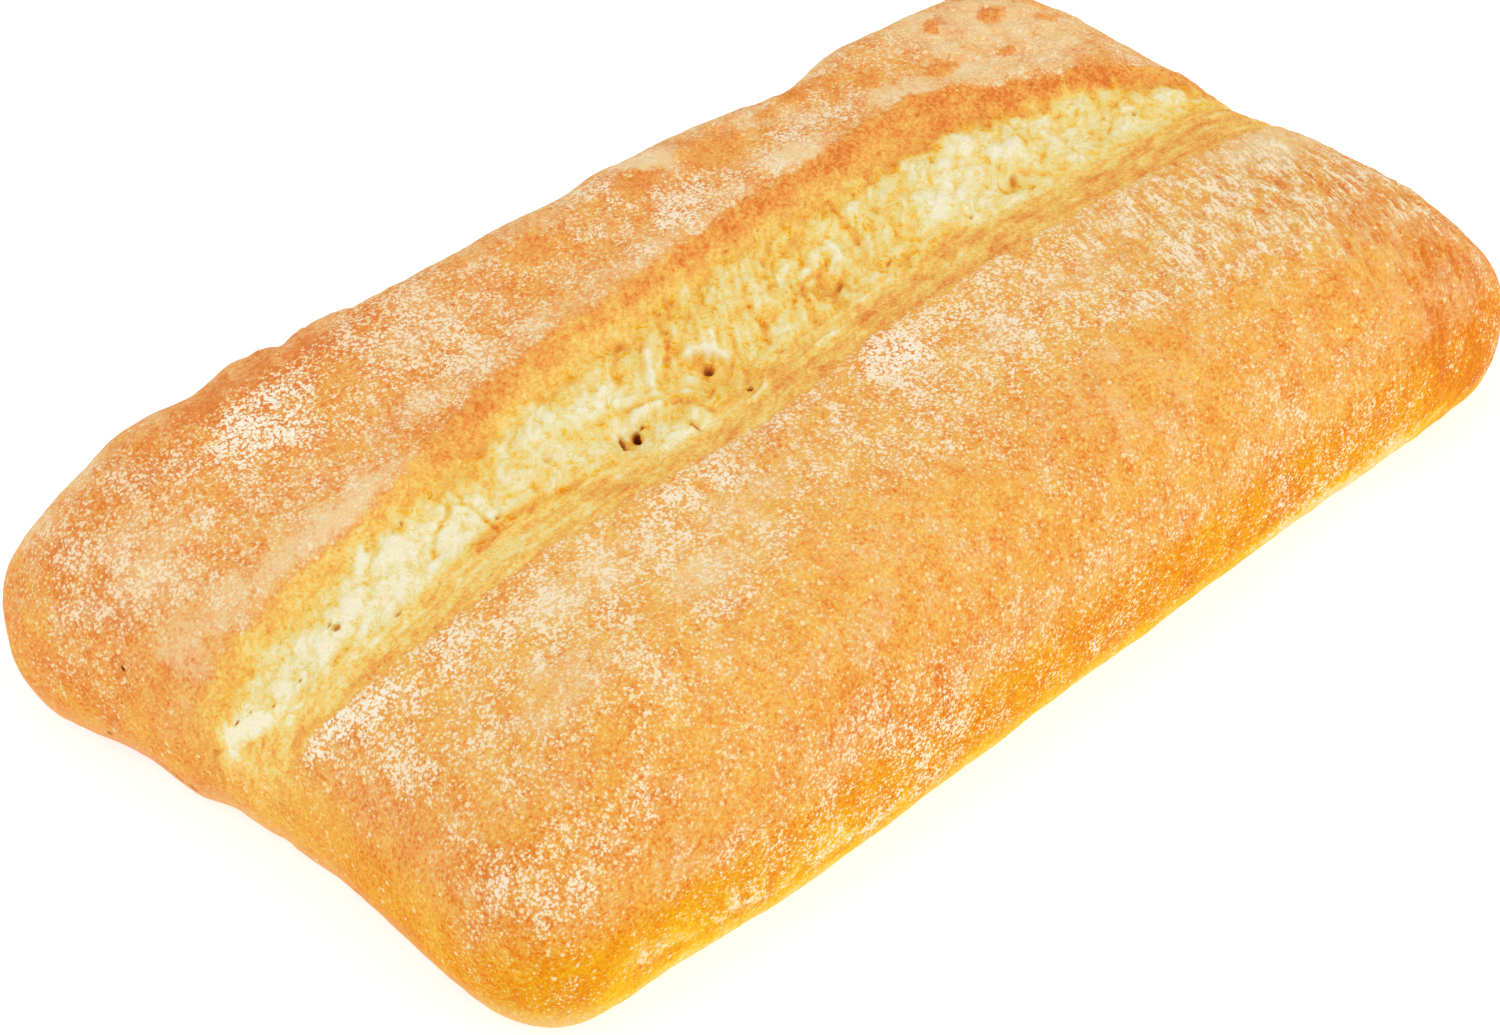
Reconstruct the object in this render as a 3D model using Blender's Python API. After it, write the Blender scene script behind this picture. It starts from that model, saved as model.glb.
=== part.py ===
"""A whole ciabatta: one flat, pillow-shaped loaf with a long split in its top crust.

+X runs along the loaf, -Y is its near long side and +Z is up. The loaf rests on its flat base.
"""
import bpy
import bmesh
import numpy as np

MM = 0.001

# Driving dimensions of the body
LENGTH = 260 * MM           # between the mean lines of the two ends
WIDTH = 145 * MM            # between the mean lines of the two long sides
HEIGHT = 50 * MM            # crust over the middle of the loaf
BULGE_HEIGHT = 15 * MM      # height of the widest line round the loaf
BASE_TUCK = 6 * MM          # how far the flat base stays inside the widest line
CORNER_RADIUS = {"near end, far side": 25 * MM, "near end, near side": 28 * MM,
                 "far end, near side": 23 * MM, "far end, far side": 22 * MM}
ROLL_REACH = {"near end": 59 * MM, "far end": 28 * MM, "near side": 42 * MM, "far side": 17 * MM}
ROLL_POWER = 2.3            # 2 is a round roll-over, more is squarer
CROWN_FALL = 0.15           # share of the height lost towards both ends
FAR_END_FALL = 0.12         # share lost at the far end and gained at the near end
FAR_SIDE_FALL = 0.13        # share lost at the far side and gained at the near side

# How each edge leaves its mean line, outwards. lean, bow and twist are its slope, arch and S,
# and each swelling is its place along the edge, its reach and its size.
EDGES = {
    "near side": {"lean": 0.5 * MM, "bow": 1 * MM, "twist": 2.5 * MM,
                  "swellings": ((-95 * MM, 22 * MM, -2.5 * MM), (30 * MM, 9 * MM, 0.5 * MM))},
    "far side": {"lean": -6.5 * MM, "bow": 1 * MM, "twist": -2 * MM,
                 "swellings": ((-102 * MM, 11 * MM, 3.5 * MM), (-78 * MM, 8 * MM, 4 * MM),
                               (-60 * MM, 5 * MM, 2.5 * MM), (-6 * MM, 8 * MM, -1.5 * MM),
                               (6 * MM, 5 * MM, 1 * MM), (52 * MM, 12 * MM, -5 * MM),
                               (68 * MM, 7 * MM, 1 * MM))},
    "near end": {"lean": 7.5 * MM, "bow": 9.5 * MM, "twist": 0,
                 "swellings": ((54 * MM, 17 * MM, 5 * MM), (22 * MM, 14 * MM, 3.5 * MM),
                               (14 * MM, 4 * MM, -1 * MM))},
    "far end": {"lean": -7 * MM, "bow": 1.5 * MM, "twist": 0,
                "swellings": ((-3 * MM, 15 * MM, -2.5 * MM),)},
}

# The four lines of the split, as points (along, across) that a smooth line runs through
SPLIT_LINES = {
    "near crust edge": ((-132, -1), (-118, -4), (-98, -8), (-60, -9), (-40, -11), (-20, -14), (0, -11),
                        (15, -9), (50, -10), (80, -11), (100, -14), (130, -17)),
    "near crumb edge": ((-132, 4), (-118, 2), (-98, 1), (-84, 3), (-60, 1), (-42, -1), (-28, -5),
                        (-8, 0), (15, 2), (30, 1), (48, 4), (80, 1), (105, -1), (130, -6)),
    "far crumb edge": ((-132, 15), (-100, 15), (-85, 18), (-60, 20), (-40, 24), (0, 27), (30, 27),
                       (60, 29), (75, 28), (90, 23), (105, 18), (118, 10), (130, 2)),
    "far crust edge": ((-132, 18), (-100, 20), (-72, 22), (-50, 28), (-20, 31), (20, 35), (52, 38),
                       (70, 38), (85, 31), (100, 24), (118, 14), (130, 7)),
}
LINE_EASE = 7 * MM          # how far the corners of those lines are eased
SHOULDER_DROP = 3 * MM      # from the near lobe down to the golden skin beside its edge
SHOULDER_SPREAD = 4 * MM    # how far that slope spreads past its lines
FLOOR_RISE = 1.5 * MM       # from there up to the foot of the far lip
LIP_RISE = 1.5 * MM         # the far lip's top above the far lobe
LIP_BACK = 14 * MM          # how far the far lobe takes to fall from the lip
SCARP_SPREAD = 2 * MM       # how far the lip's slope spreads past its two lines
VALLEY_DEPTH = 1.5 * MM     # the soft hollow between the two lobes
VALLEY_REACH = 22 * MM
FADE_START = 95 * MM        # where the split starts to run out towards both ends
FADE_SHARE = 0.7            # share of its relief lost there

# Larger lumps and hollows of the torn crumb: along, across, radius and height
CRUMB_LUMPS = ((-106, 8, 7, 1.2), (-92, 9, 5, 1.0), (-79, 9, 4, -1.4), (-72, 11, 5, 1.1),
               (-58, 12, 6, 1.4), (-46, 15, 6, 1.2), (-39, 4, 4, -2.4), (-33, 19, 5, 1.1),
               (-27, 1, 5, 1.2), (-24, 23, 4, -1.3), (-15, 7, 6, -2.6), (-9, 14, 5, 1.5),
               (2, 18, 5, 1.2), (9, 8, 5, 1.0), (18, 9, 4, -1.9), (28, 16, 4, -1.4),
               (43, 13, 7, 1.5), (55, 19, 6, 1.1), (66, 8, 4, -1.9), (76, 15, 7, 1.2),
               (90, 10, 6, -0.9), (101, 9, 6, 1.0))

# Soft unevenness of the crust: waves along and across, phase and height
CRUST_WAVES = ((2.3, 1.1, 0.4, 0.5), (3.7, -2.2, 1.9, 0.35), (5.1, 3.4, 4.1, 0.3),
               (8.3, -1.7, 2.6, 0.2), (6.2, 5.3, 0.9, 0.15))

# Grid over the top: cells along, and cells across in the five lanes between the split's lines
CELLS_ALONG = 72
LANE_CELLS = (13, 5, 12, 5, 12)
SIDE_RINGS = 3
RIM_DENSITY = 0.45          # 1 is even spacing, less puts more cells at the rims

CRUST_COLOUR = (0.80, 0.42, 0.14, 1.0)
CRUST_ROUGHNESS = 0.75


def clear_scene():
    for scene_object in list(bpy.data.objects):
        bpy.data.objects.remove(scene_object)


def ramp(value, start, end):
    """Rises smoothly from 0 at start to 1 at end."""
    share = np.clip((value - start) / (end - start), 0, 1)
    return share * share * (3 - 2 * share)


def roll_over(depth, reach):
    """Share of the height reached this far in from an edge."""
    return (1 - np.clip(1 - depth / reach, 0, 1) ** ROLL_POWER) ** (1 / ROLL_POWER)


def bumps(place, swellings):
    return sum(size * np.exp(-((place - centre) / reach) ** 2) for centre, reach, size in swellings)


def outward(edge, share):
    """How far an edge lies outside its mean line, at this share of its half length."""
    shape = EDGES[edge]
    return (shape["lean"] * share + shape["bow"] * (share ** 2 - 1 / 3) + shape["twist"] * share ** 3)


def split_line(name, x):
    """The place across the loaf of one of the split's lines, eased by a short mean."""
    along, across = (np.array(SPLIT_LINES[name]) * MM).T
    steps = np.linspace(-1, 1, 7) * LINE_EASE
    return np.mean([np.interp(x + step, along, across) for step in steps], axis=0)


def rim_spacing(share):
    """Spacing from the rim inwards, closer near the rim."""
    return RIM_DENSITY * share + (1 - RIM_DENSITY) * (1 - np.cos(np.pi / 2 * share))


def grid_across(u):
    """The places across, from -1 to 1, of the grid's lines at one place along."""
    half = WIDTH / 2
    lines = [split_line(name, u * LENGTH / 2) / half for name in SPLIT_LINES]
    knots = [-1.0] + lines + [1.0]
    places = []
    for lane, cells in enumerate(LANE_CELLS):
        share = np.arange(cells) / cells
        if lane == 0:
            share = rim_spacing(share)
        elif lane == len(LANE_CELLS) - 1:
            share = 1 - rim_spacing(1 - share)
        places.extend(knots[lane] + (knots[lane + 1] - knots[lane]) * share)
    return np.array(places + [1.0])


def body_points(u, v):
    """The pillow without its split, from places along and across between -1 and 1."""
    a, b = LENGTH / 2, WIDTH / 2
    far, back = ramp(u, -1, 1), ramp(v, -1, 1)
    radius = ((1 - far) * back * CORNER_RADIUS["near end, far side"]
              + (1 - far) * (1 - back) * CORNER_RADIUS["near end, near side"]
              + far * (1 - back) * CORNER_RADIUS["far end, near side"]
              + far * back * CORNER_RADIUS["far end, far side"])
    inset = radius * (1 - np.sqrt(0.5))
    x = u * (a - inset * np.abs(v) ** ((b - inset) / inset))
    y = v * (b - inset * np.abs(u) ** ((a - inset) / inset))
    end_reach = ROLL_REACH["near end"] * (1 - far) + ROLL_REACH["far end"] * far
    side_reach = ROLL_REACH["near side"] * (1 - back) + ROLL_REACH["far side"] * back
    rise = roll_over((1 - np.abs(u)) * a, end_reach) * roll_over((1 - np.abs(v)) * b, side_reach)
    tilt = (1 - CROWN_FALL * (x / a) ** 2) * (1 - FAR_END_FALL * x / a) * (1 - FAR_SIDE_FALL * y / b)
    return x, y, rise, rise * tilt * (HEIGHT - BULGE_HEIGHT)


def shaped_plan(x, y):
    """Moves the outline from its mean lines to the loaf's own edges."""
    t, w = x / (LENGTH / 2), y / (WIDTH / 2)
    near, far = np.clip(-t, 0, 1), np.clip(t, 0, 1)
    front, back = np.clip(-w, 0, 1), np.clip(w, 0, 1)
    moved_x = x - near * outward("near end", w) + far * outward("far end", w)
    moved_y = y - front * outward("near side", t) + back * outward("far side", t)
    moved_x = (moved_x - near ** 4 * bumps(moved_y, EDGES["near end"]["swellings"])
               + far ** 4 * bumps(moved_y, EDGES["far end"]["swellings"]))
    moved_y = (moved_y - front ** 3 * bumps(moved_x, EDGES["near side"]["swellings"])
               + back ** 3 * bumps(moved_x, EDGES["far side"]["swellings"]))
    return moved_x, moved_y


def split_relief(x, y):
    """Height of the split's shoulder, floor, scarp and lip against the plain pillow."""
    near_crust, near_crumb, far_crumb, far_crust = (split_line(name, x) for name in SPLIT_LINES)
    down = SHOULDER_DROP * ramp(y, near_crust - SHOULDER_SPREAD, near_crumb)
    floor = FLOOR_RISE * ramp(y, near_crumb, far_crumb)
    scarp = ((SHOULDER_DROP - FLOOR_RISE + LIP_RISE)
             * ramp(y, far_crumb - SCARP_SPREAD, far_crust + SCARP_SPREAD))
    middle = (near_crumb + far_crumb) / 2
    valley = VALLEY_DEPTH * np.exp(-((y - middle) / VALLEY_REACH) ** 2)
    fade = 1 - FADE_SHARE * ramp(np.abs(x), FADE_START, LENGTH / 2)
    back = LIP_RISE * ramp(y, far_crust, far_crust + LIP_BACK)
    return fade * (floor + scarp - down - valley - back)


def crumb_relief(x, y):
    lumps = np.array(CRUMB_LUMPS) * MM
    return sum(height * np.exp(-((x - along) ** 2 + (y - across) ** 2) / radius ** 2)
               for along, across, radius, height in lumps)


def crust_waves(x, y):
    t, w = x / (LENGTH / 2), y / (WIDTH / 2)
    return sum(height * MM * np.sin(along * np.pi / 2 * t + across * np.pi / 2 * w + phase)
               for along, across, phase, height in CRUST_WAVES)


def top_sheet():
    """Points over the top crust, down to the widest line, as a grid."""
    even = np.linspace(-1, 1, CELLS_ALONG + 1)
    along = RIM_DENSITY * even + (1 - RIM_DENSITY) * np.sin(np.pi / 2 * even)
    v = np.array([grid_across(place) for place in along])
    u = np.broadcast_to(along[:, None], v.shape)
    x, y, rise, height = body_points(u, v)
    relief = split_relief(x, y) + crumb_relief(x, y) + crust_waves(x, y)
    moved_x, moved_y = shaped_plan(x, y)
    return np.stack([moved_x, moved_y, BULGE_HEIGHT + height + rise * relief], axis=-1)


def rim_of(grid):
    """The grid's boundary, anticlockwise from its first corner."""
    last = (grid.shape[0] - 1, grid.shape[1] - 1)
    return ([(i, 0) for i in range(last[0])] + [(last[0], j) for j in range(last[1])]
            + [(i, last[1]) for i in range(last[0], 0, -1)] + [(0, j) for j in range(last[1], 0, -1)])


def side_rings(rim):
    """Rings from the widest line down to the base, along a quarter of an ellipse."""
    tangent = np.roll(rim, -1, axis=0) - np.roll(rim, 1, axis=0)
    normal = np.stack([tangent[:, 1], -tangent[:, 0]], axis=-1)
    normal /= np.linalg.norm(normal, axis=1)[:, None]
    rings = []
    for step in range(1, SIDE_RINGS + 1):
        angle = np.pi / 2 * step / SIDE_RINGS
        ring = rim.copy()
        ring[:, :2] -= normal * BASE_TUCK * (1 - np.cos(angle))
        ring[:, 2] *= 1 - np.sin(angle)
        rings.append(ring)
    return rings


def centred(grid, rings):
    """Moves everything so that the origin is under the middle of the loaf's box."""
    points = np.concatenate([grid.reshape(-1, 3)] + rings)
    middle = (points.min(axis=0) + points.max(axis=0)) / 2
    middle[2] = 0
    return grid - middle, [ring - middle for ring in rings]


def loaf_mesh():
    grid = top_sheet()
    rim_cells = rim_of(grid)
    rings = side_rings(np.array([grid[cell] for cell in rim_cells]))
    grid, rings = centred(grid, rings)
    work = bmesh.new()
    top = [[work.verts.new(point) for point in row] for row in grid]
    for i in range(grid.shape[0] - 1):
        for j in range(grid.shape[1] - 1):
            work.faces.new((top[i][j], top[i + 1][j], top[i + 1][j + 1], top[i][j + 1]))
    upper = [top[i][j] for i, j in rim_cells]
    for ring in rings:
        lower = [work.verts.new(point) for point in ring]
        for k in range(len(upper)):
            after = (k + 1) % len(upper)
            work.faces.new((upper[after], upper[k], lower[k], lower[after]))
        upper = lower
    work.faces.new(upper[::-1])
    mesh = bpy.data.meshes.new("loaf")
    work.to_mesh(mesh)
    work.free()
    mesh.shade_smooth()
    return mesh


def crust_material():
    material = bpy.data.materials.new("crust")
    material.use_nodes = True
    shader = material.node_tree.nodes["Principled BSDF"]
    shader.inputs["Base Color"].default_value = CRUST_COLOUR
    shader.inputs["Roughness"].default_value = CRUST_ROUGHNESS
    shader.inputs["Metallic"].default_value = 0.0
    return material


def add_loaf():
    loaf = bpy.data.objects.new("loaf", loaf_mesh())
    loaf.data.materials.append(crust_material())
    bpy.context.scene.collection.objects.link(loaf)
    return loaf


clear_scene()
add_loaf()
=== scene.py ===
# A whole ciabatta: floured crust, the long torn split in its top, and its floured base.
# It is built in millimetres: +x runs along the loaf, -y is its near long side and +z is up.
# Places in the lists are along and across the loaf, before it is centred on its solid.
import math

import bpy
import numpy as np
from mathutils import Euler, Matrix, Vector


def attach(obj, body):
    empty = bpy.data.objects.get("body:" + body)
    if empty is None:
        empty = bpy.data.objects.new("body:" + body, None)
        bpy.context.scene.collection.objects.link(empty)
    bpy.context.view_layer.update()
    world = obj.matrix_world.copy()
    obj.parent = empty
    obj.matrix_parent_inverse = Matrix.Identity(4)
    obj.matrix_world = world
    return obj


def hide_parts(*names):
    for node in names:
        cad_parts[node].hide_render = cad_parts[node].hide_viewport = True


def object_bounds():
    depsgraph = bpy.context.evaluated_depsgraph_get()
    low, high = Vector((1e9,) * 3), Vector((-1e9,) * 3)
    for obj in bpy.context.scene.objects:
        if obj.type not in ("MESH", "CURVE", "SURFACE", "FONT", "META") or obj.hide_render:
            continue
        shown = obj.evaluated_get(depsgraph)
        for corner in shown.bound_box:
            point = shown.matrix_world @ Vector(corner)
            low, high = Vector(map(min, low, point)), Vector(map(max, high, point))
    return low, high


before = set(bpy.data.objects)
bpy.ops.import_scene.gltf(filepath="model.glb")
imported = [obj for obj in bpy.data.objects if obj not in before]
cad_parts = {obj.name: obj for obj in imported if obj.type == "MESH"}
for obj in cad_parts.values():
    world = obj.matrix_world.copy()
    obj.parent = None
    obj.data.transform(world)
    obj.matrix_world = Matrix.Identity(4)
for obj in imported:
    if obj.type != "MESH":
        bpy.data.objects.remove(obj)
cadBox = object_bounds()
mm = 0.001
print("frame loaded, box", [round(side / mm, 1) for side in cadBox[1] - cadBox[0]], "mm")


def hexColour(code):
    # an sRGB hex colour as the linear values that a shader takes
    channels = [int(code[start:start + 2], 16) / 255 for start in (1, 3, 5)]
    return [c / 12.92 if c <= 0.04045 else ((c + 0.055) / 1.055) ** 2.4 for c in channels] + [1.0]


loafForm = {
    "length": 260, "width": 145, "height": 50,
    "bulgeHeight": 15,               # the widest line round the loaf
    "baseTuck": 6,                   # the flat base stays this far inside it
    "cornerNearFar": 25, "cornerNearNear": 28, "cornerFarNear": 23, "cornerFarFar": 22,
    "rollNearEnd": 59, "rollFarEnd": 28, "rollNearSide": 42, "rollFarSide": 17,
    "rollPower": 2.3, "crownFall": 0.15, "farEndFall": 0.12, "farSideFall": 0.13,
}

# how each edge leaves its mean line: slope, arch, S, and swellings as (place, reach, size)
loafEdges = {
    "nearSide": {"lean": 0.5, "bow": 1, "twist": 2.5, "swellings": ((-95, 22, -2.5), (30, 9, 0.5))},
    "farSide": {"lean": -6.5, "bow": 1, "twist": -2,
                "swellings": ((-102, 11, 3.5), (-78, 8, 4), (-60, 5, 2.5), (-6, 8, -1.5), (6, 5, 1),
                              (52, 12, -5), (68, 7, 1))},
    "nearEnd": {"lean": 7.5, "bow": 9.5, "twist": 0,
                "swellings": ((54, 17, 5), (22, 14, 3.5), (14, 4, -1))},
    "farEnd": {"lean": -7, "bow": 1.5, "twist": 0, "swellings": ((-3, 15, -2.5),)},
}

# the four lines of the split, as points (along, across)
splitLines = {
    "nearCrust": ((-132, -1), (-118, -4), (-98, -8), (-60, -9), (-40, -11), (-20, -14), (0, -11), (15, -9),
                  (50, -10), (80, -11), (100, -14), (130, -17)),
    "nearCrumb": ((-132, 4), (-118, 2), (-98, 1), (-84, 3), (-60, 1), (-42, -1), (-28, -5), (-8, 0),
                  (15, 2), (30, 1), (48, 4), (80, 1), (105, -1), (130, -6)),
    "farCrumb": ((-132, 15), (-100, 15), (-85, 18), (-60, 20), (-40, 24), (0, 27), (30, 27), (60, 29),
                 (75, 28), (90, 23), (105, 18), (118, 10), (130, 2)),
    "farCrust": ((-132, 18), (-100, 20), (-72, 22), (-50, 28), (-20, 31), (20, 35), (52, 38), (70, 38),
                 (85, 31), (100, 24), (118, 14), (130, 7)),
}

splitForm = {
    "lineEase": 7, "shoulderDrop": 3, "shoulderSpread": 4, "floorRise": 1.5, "lipRise": 1.5,
    "lipBack": 14, "scarpSpread": 2, "valleyDepth": 1.5, "valleyReach": 22,
    "fadeStart": 95, "fadeShare": 0.7,
}

# larger lumps of the torn crumb: along, across, radius, height
crumbLumps = ((-106, 8, 7, 1.2), (-92, 9, 5, 1.0), (-79, 9, 4, -1.4), (-72, 11, 5, 1.1), (-58, 12, 6, 1.4),
              (-46, 15, 6, 1.2), (-39, 4, 4, -2.4), (-33, 19, 5, 1.1), (-27, 1, 5, 1.2), (-24, 23, 4, -1.3),
              (-15, 7, 6, -2.6), (-9, 14, 5, 1.5), (2, 18, 5, 1.2), (9, 8, 5, 1.0), (18, 9, 4, -1.9),
              (28, 16, 4, -1.4), (43, 13, 7, 1.5), (55, 19, 6, 1.1), (66, 8, 4, -1.9), (76, 15, 7, 1.2),
              (90, 10, 6, -0.9), (101, 9, 6, 1.0))

# slow waves of the crust: along, across, phase, height
crustWaves = ((2.3, 1.1, 0.4, 0.5), (3.7, -2.2, 1.9, 0.35), (5.1, 3.4, 4.1, 0.3), (8.3, -1.7, 2.6, 0.2),
              (6.2, 5.3, 0.9, 0.15))

# the mesh: cells along, cells across in the five lanes between the split's lines, rings down the side
loafGrid = {"along": 640, "lanes": (104, 26, 88, 24, 76), "sideRings": 26, "baseRings": 24,
            "rimDensity": 0.7}                     # 1 spaces the cells evenly, less crowds them at the rim


def ramp(value, start, end):
    share = np.clip((value - start) / (end - start), 0, 1)
    return share * share * (3 - 2 * share)


def rollOver(depth, reach):
    power = loafForm["rollPower"]
    return (1 - np.clip(1 - depth / reach, 0, 1) ** power) ** (1 / power)


def swell(place, swellings):
    return sum(size * np.exp(-((place - centre) / reach) ** 2) for centre, reach, size in swellings)


def outward(edge, share):
    shape = loafEdges[edge]
    return shape["lean"] * share + shape["bow"] * (share ** 2 - 1 / 3) + shape["twist"] * share ** 3


def splitLine(name, x):
    along, across = np.array(splitLines[name], float).T
    steps = np.linspace(-1, 1, 7) * splitForm["lineEase"]
    return np.mean([np.interp(x + step, along, across) for step in steps], axis=0)


def rimSpacing(share):
    dense = loafGrid["rimDensity"]
    return dense * share + (1 - dense) * (1 - np.cos(np.pi / 2 * share))


def gridAcross(along):
    # places across, from -1 to 1, of every line of the grid
    x = along * loafForm["length"] / 2
    lines = [splitLine(name, x) / (loafForm["width"] / 2) for name in splitLines]
    knots = [-np.ones_like(along)] + lines + [np.ones_like(along)]
    columns = []
    for lane, cells in enumerate(loafGrid["lanes"]):
        share = np.arange(cells) / cells
        if lane == 0:
            share = rimSpacing(share)
        elif lane == 4:
            share = 1 - rimSpacing(1 - share)
        columns.append(knots[lane][:, None] + (knots[lane + 1] - knots[lane])[:, None] * share)
    return np.concatenate(columns + [np.ones_like(along)[:, None]], axis=1)


def bodyPoints(u, v):
    # the pillow before its split is drawn
    form = loafForm
    a, b = form["length"] / 2, form["width"] / 2
    far, back = ramp(u, -1, 1), ramp(v, -1, 1)
    radius = ((1 - far) * back * form["cornerNearFar"] + (1 - far) * (1 - back) * form["cornerNearNear"]
              + far * (1 - back) * form["cornerFarNear"] + far * back * form["cornerFarFar"])
    inset = radius * (1 - np.sqrt(0.5))
    x = u * (a - inset * np.abs(v) ** ((b - inset) / inset))
    y = v * (b - inset * np.abs(u) ** ((a - inset) / inset))
    endReach = form["rollNearEnd"] * (1 - far) + form["rollFarEnd"] * far
    sideReach = form["rollNearSide"] * (1 - back) + form["rollFarSide"] * back
    rise = rollOver((1 - np.abs(u)) * a, endReach) * rollOver((1 - np.abs(v)) * b, sideReach)
    tilt = (1 - form["crownFall"] * (x / a) ** 2) * (1 - form["farEndFall"] * x / a)
    tilt = tilt * (1 - form["farSideFall"] * y / b)
    return x, y, rise, rise * tilt * (form["height"] - form["bulgeHeight"])


def shapedPlan(x, y):
    # from the mean lines out to the loaf's own edges
    t, w = x / (loafForm["length"] / 2), y / (loafForm["width"] / 2)
    near, far, front, back = (np.clip(side, 0, 1) for side in (-t, t, -w, w))
    movedX = x - near * outward("nearEnd", w) + far * outward("farEnd", w)
    movedY = y - front * outward("nearSide", t) + back * outward("farSide", t)
    movedX = (movedX - near ** 4 * swell(movedY, loafEdges["nearEnd"]["swellings"])
              + far ** 4 * swell(movedY, loafEdges["farEnd"]["swellings"]))
    movedY = (movedY - front ** 3 * swell(movedX, loafEdges["nearSide"]["swellings"])
              + back ** 3 * swell(movedX, loafEdges["farSide"]["swellings"]))
    return movedX, movedY


def splitRelief(x, y):
    form = splitForm
    nearCrust, nearCrumb, farCrumb, farCrust = (splitLine(name, x) for name in splitLines)
    down = form["shoulderDrop"] * ramp(y, nearCrust - form["shoulderSpread"], nearCrumb)
    floor = form["floorRise"] * ramp(y, nearCrumb, farCrumb)
    scarp = ((form["shoulderDrop"] - form["floorRise"] + form["lipRise"])
             * ramp(y, farCrumb - form["scarpSpread"], farCrust + form["scarpSpread"]))
    valley = form["valleyDepth"] * np.exp(-((y - (nearCrumb + farCrumb) / 2) / form["valleyReach"]) ** 2)
    fade = 1 - form["fadeShare"] * ramp(np.abs(x), form["fadeStart"], loafForm["length"] / 2)
    back = form["lipRise"] * ramp(y, farCrust, farCrust + form["lipBack"])
    lumps = sum(height * np.exp(-((x - along) ** 2 + (y - across) ** 2) / radius ** 2)
                for along, across, radius, height in crumbLumps)
    return fade * (floor + scarp - down - valley - back) + lumps


def crustWave(x, y):
    t, w = x / (loafForm["length"] / 2), y / (loafForm["width"] / 2)
    return sum(height * np.sin(along * np.pi / 2 * t + across * np.pi / 2 * w + phase)
               for along, across, phase, height in crustWaves)


def rimOf(rows, columns):
    return ([(i, 0) for i in range(rows)] + [(rows, j) for j in range(columns)]
            + [(i, columns) for i in range(rows, 0, -1)] + [(0, j) for j in range(columns, 0, -1)])


def unitRows(vectors):
    return vectors / np.maximum(np.linalg.norm(vectors, axis=-1), 1e-9)[..., None]


def loafSkin():
    # points and faces of the whole skin, with each face's lane; -1 is the underside
    even = np.linspace(-1, 1, loafGrid["along"] + 1)
    along = loafGrid["rimDensity"] * even + (1 - loafGrid["rimDensity"]) * np.sin(np.pi / 2 * even)
    v = gridAcross(along)
    u = np.broadcast_to(along[:, None], v.shape)
    x, y, rise, height = bodyPoints(u, v)
    movedX, movedY = shapedPlan(x, y)
    z = loafForm["bulgeHeight"] + height + rise * (splitRelief(x, y) + crustWave(x, y))
    top = np.stack([movedX, movedY, z], axis=-1)
    plan = np.stack([x, y], axis=-1)
    rows, columns = top.shape[0] - 1, top.shape[1] - 1

    # distances over the skin along both ways, for patterns that follow it and for its flat map
    alongSteps = np.linalg.norm(np.diff(top, axis=0), axis=2)
    acrossSteps = np.linalg.norm(np.diff(top, axis=1), axis=2)
    overAlong = np.concatenate([np.zeros((1, columns + 1)), np.cumsum(alongSteps, axis=0)])
    overAcross = np.concatenate([np.zeros((rows + 1, 1)), np.cumsum(acrossSteps, axis=1)], axis=1)
    middle = loafGrid["lanes"][0] + loafGrid["lanes"][1]
    overAlong, overAcross = overAlong - overAlong[rows // 2], overAcross - overAcross[:, [middle]]
    over = np.stack([overAlong, overAcross], axis=-1)

    rowOf, columnOf = np.array(rimOf(rows, columns)).T
    rim, rimFlat, rimPlan = (grid[rowOf, columnOf] for grid in (top, over, plan))
    tangent = np.roll(rim, -1, axis=0) - np.roll(rim, 1, axis=0)
    side = unitRows(np.stack([tangent[:, 1], -tangent[:, 0]], axis=-1))
    outFlat = unitRows(np.stack([(rowOf == rows) * 1.0 - (rowOf == 0),
                                 (columnOf == columns) * 1.0 - (columnOf == 0)], axis=-1))
    points, flat, bodyPlan = [top.reshape(-1, 3)], [over.reshape(-1, 2)], [plan.reshape(-1, 2)]
    last, down = rim, np.zeros(len(rim))
    for step in range(1, loafGrid["sideRings"] + 1):
        angle = np.pi / 2 * step / loafGrid["sideRings"]
        ring = rim.copy()
        ring[:, :2] -= side * loafForm["baseTuck"] * (1 - math.cos(angle))
        ring[:, 2] *= 1 - math.sin(angle)
        down = down + np.linalg.norm(ring - last, axis=1)
        points.append(ring)
        flat.append(rimFlat + outFlat * down[:, None])
        bodyPlan.append(rimPlan)
        last = ring
    centre = (last.min(axis=0) + last.max(axis=0)) / 2
    for step in range(1, loafGrid["baseRings"] + 1):
        share = 1 - step / (loafGrid["baseRings"] + 1)
        ring = centre + (last - centre) * share
        points.append(ring)
        flat.append(ring[:, :2])
        bodyPlan.append(rimPlan * share)

    cell = np.arange((rows + 1) * (columns + 1)).reshape(rows + 1, columns + 1)
    faces = [np.stack([cell[:-1, :-1], cell[1:, :-1], cell[1:, 1:], cell[:-1, 1:]], axis=-1).reshape(-1, 4)]
    laneOfColumn = np.repeat(np.arange(5), loafGrid["lanes"])
    lanes = [np.tile(laneOfColumn, rows)]
    rimLane = laneOfColumn[np.minimum(np.minimum(columnOf, np.roll(columnOf, -1)), columns - 1)]
    upper = cell[rowOf, columnOf]
    for ring in range(loafGrid["sideRings"] + loafGrid["baseRings"]):
        lower = cell.size + ring * len(rim) + np.arange(len(rim))
        faces.append(np.stack([np.roll(upper, -1), upper, lower, np.roll(lower, -1)], axis=-1))
        lanes.append(rimLane if ring < loafGrid["sideRings"] else np.full(len(rim), -1))
        upper = lower
    return {"points": np.concatenate(points), "flat": np.concatenate(flat),
            "plan": np.concatenate(bodyPlan), "faces": np.concatenate(faces),
            "lanes": np.concatenate(lanes), "middleFan": upper, "topShape": (rows + 1, columns + 1),
            "rimCount": len(rim)}


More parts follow.
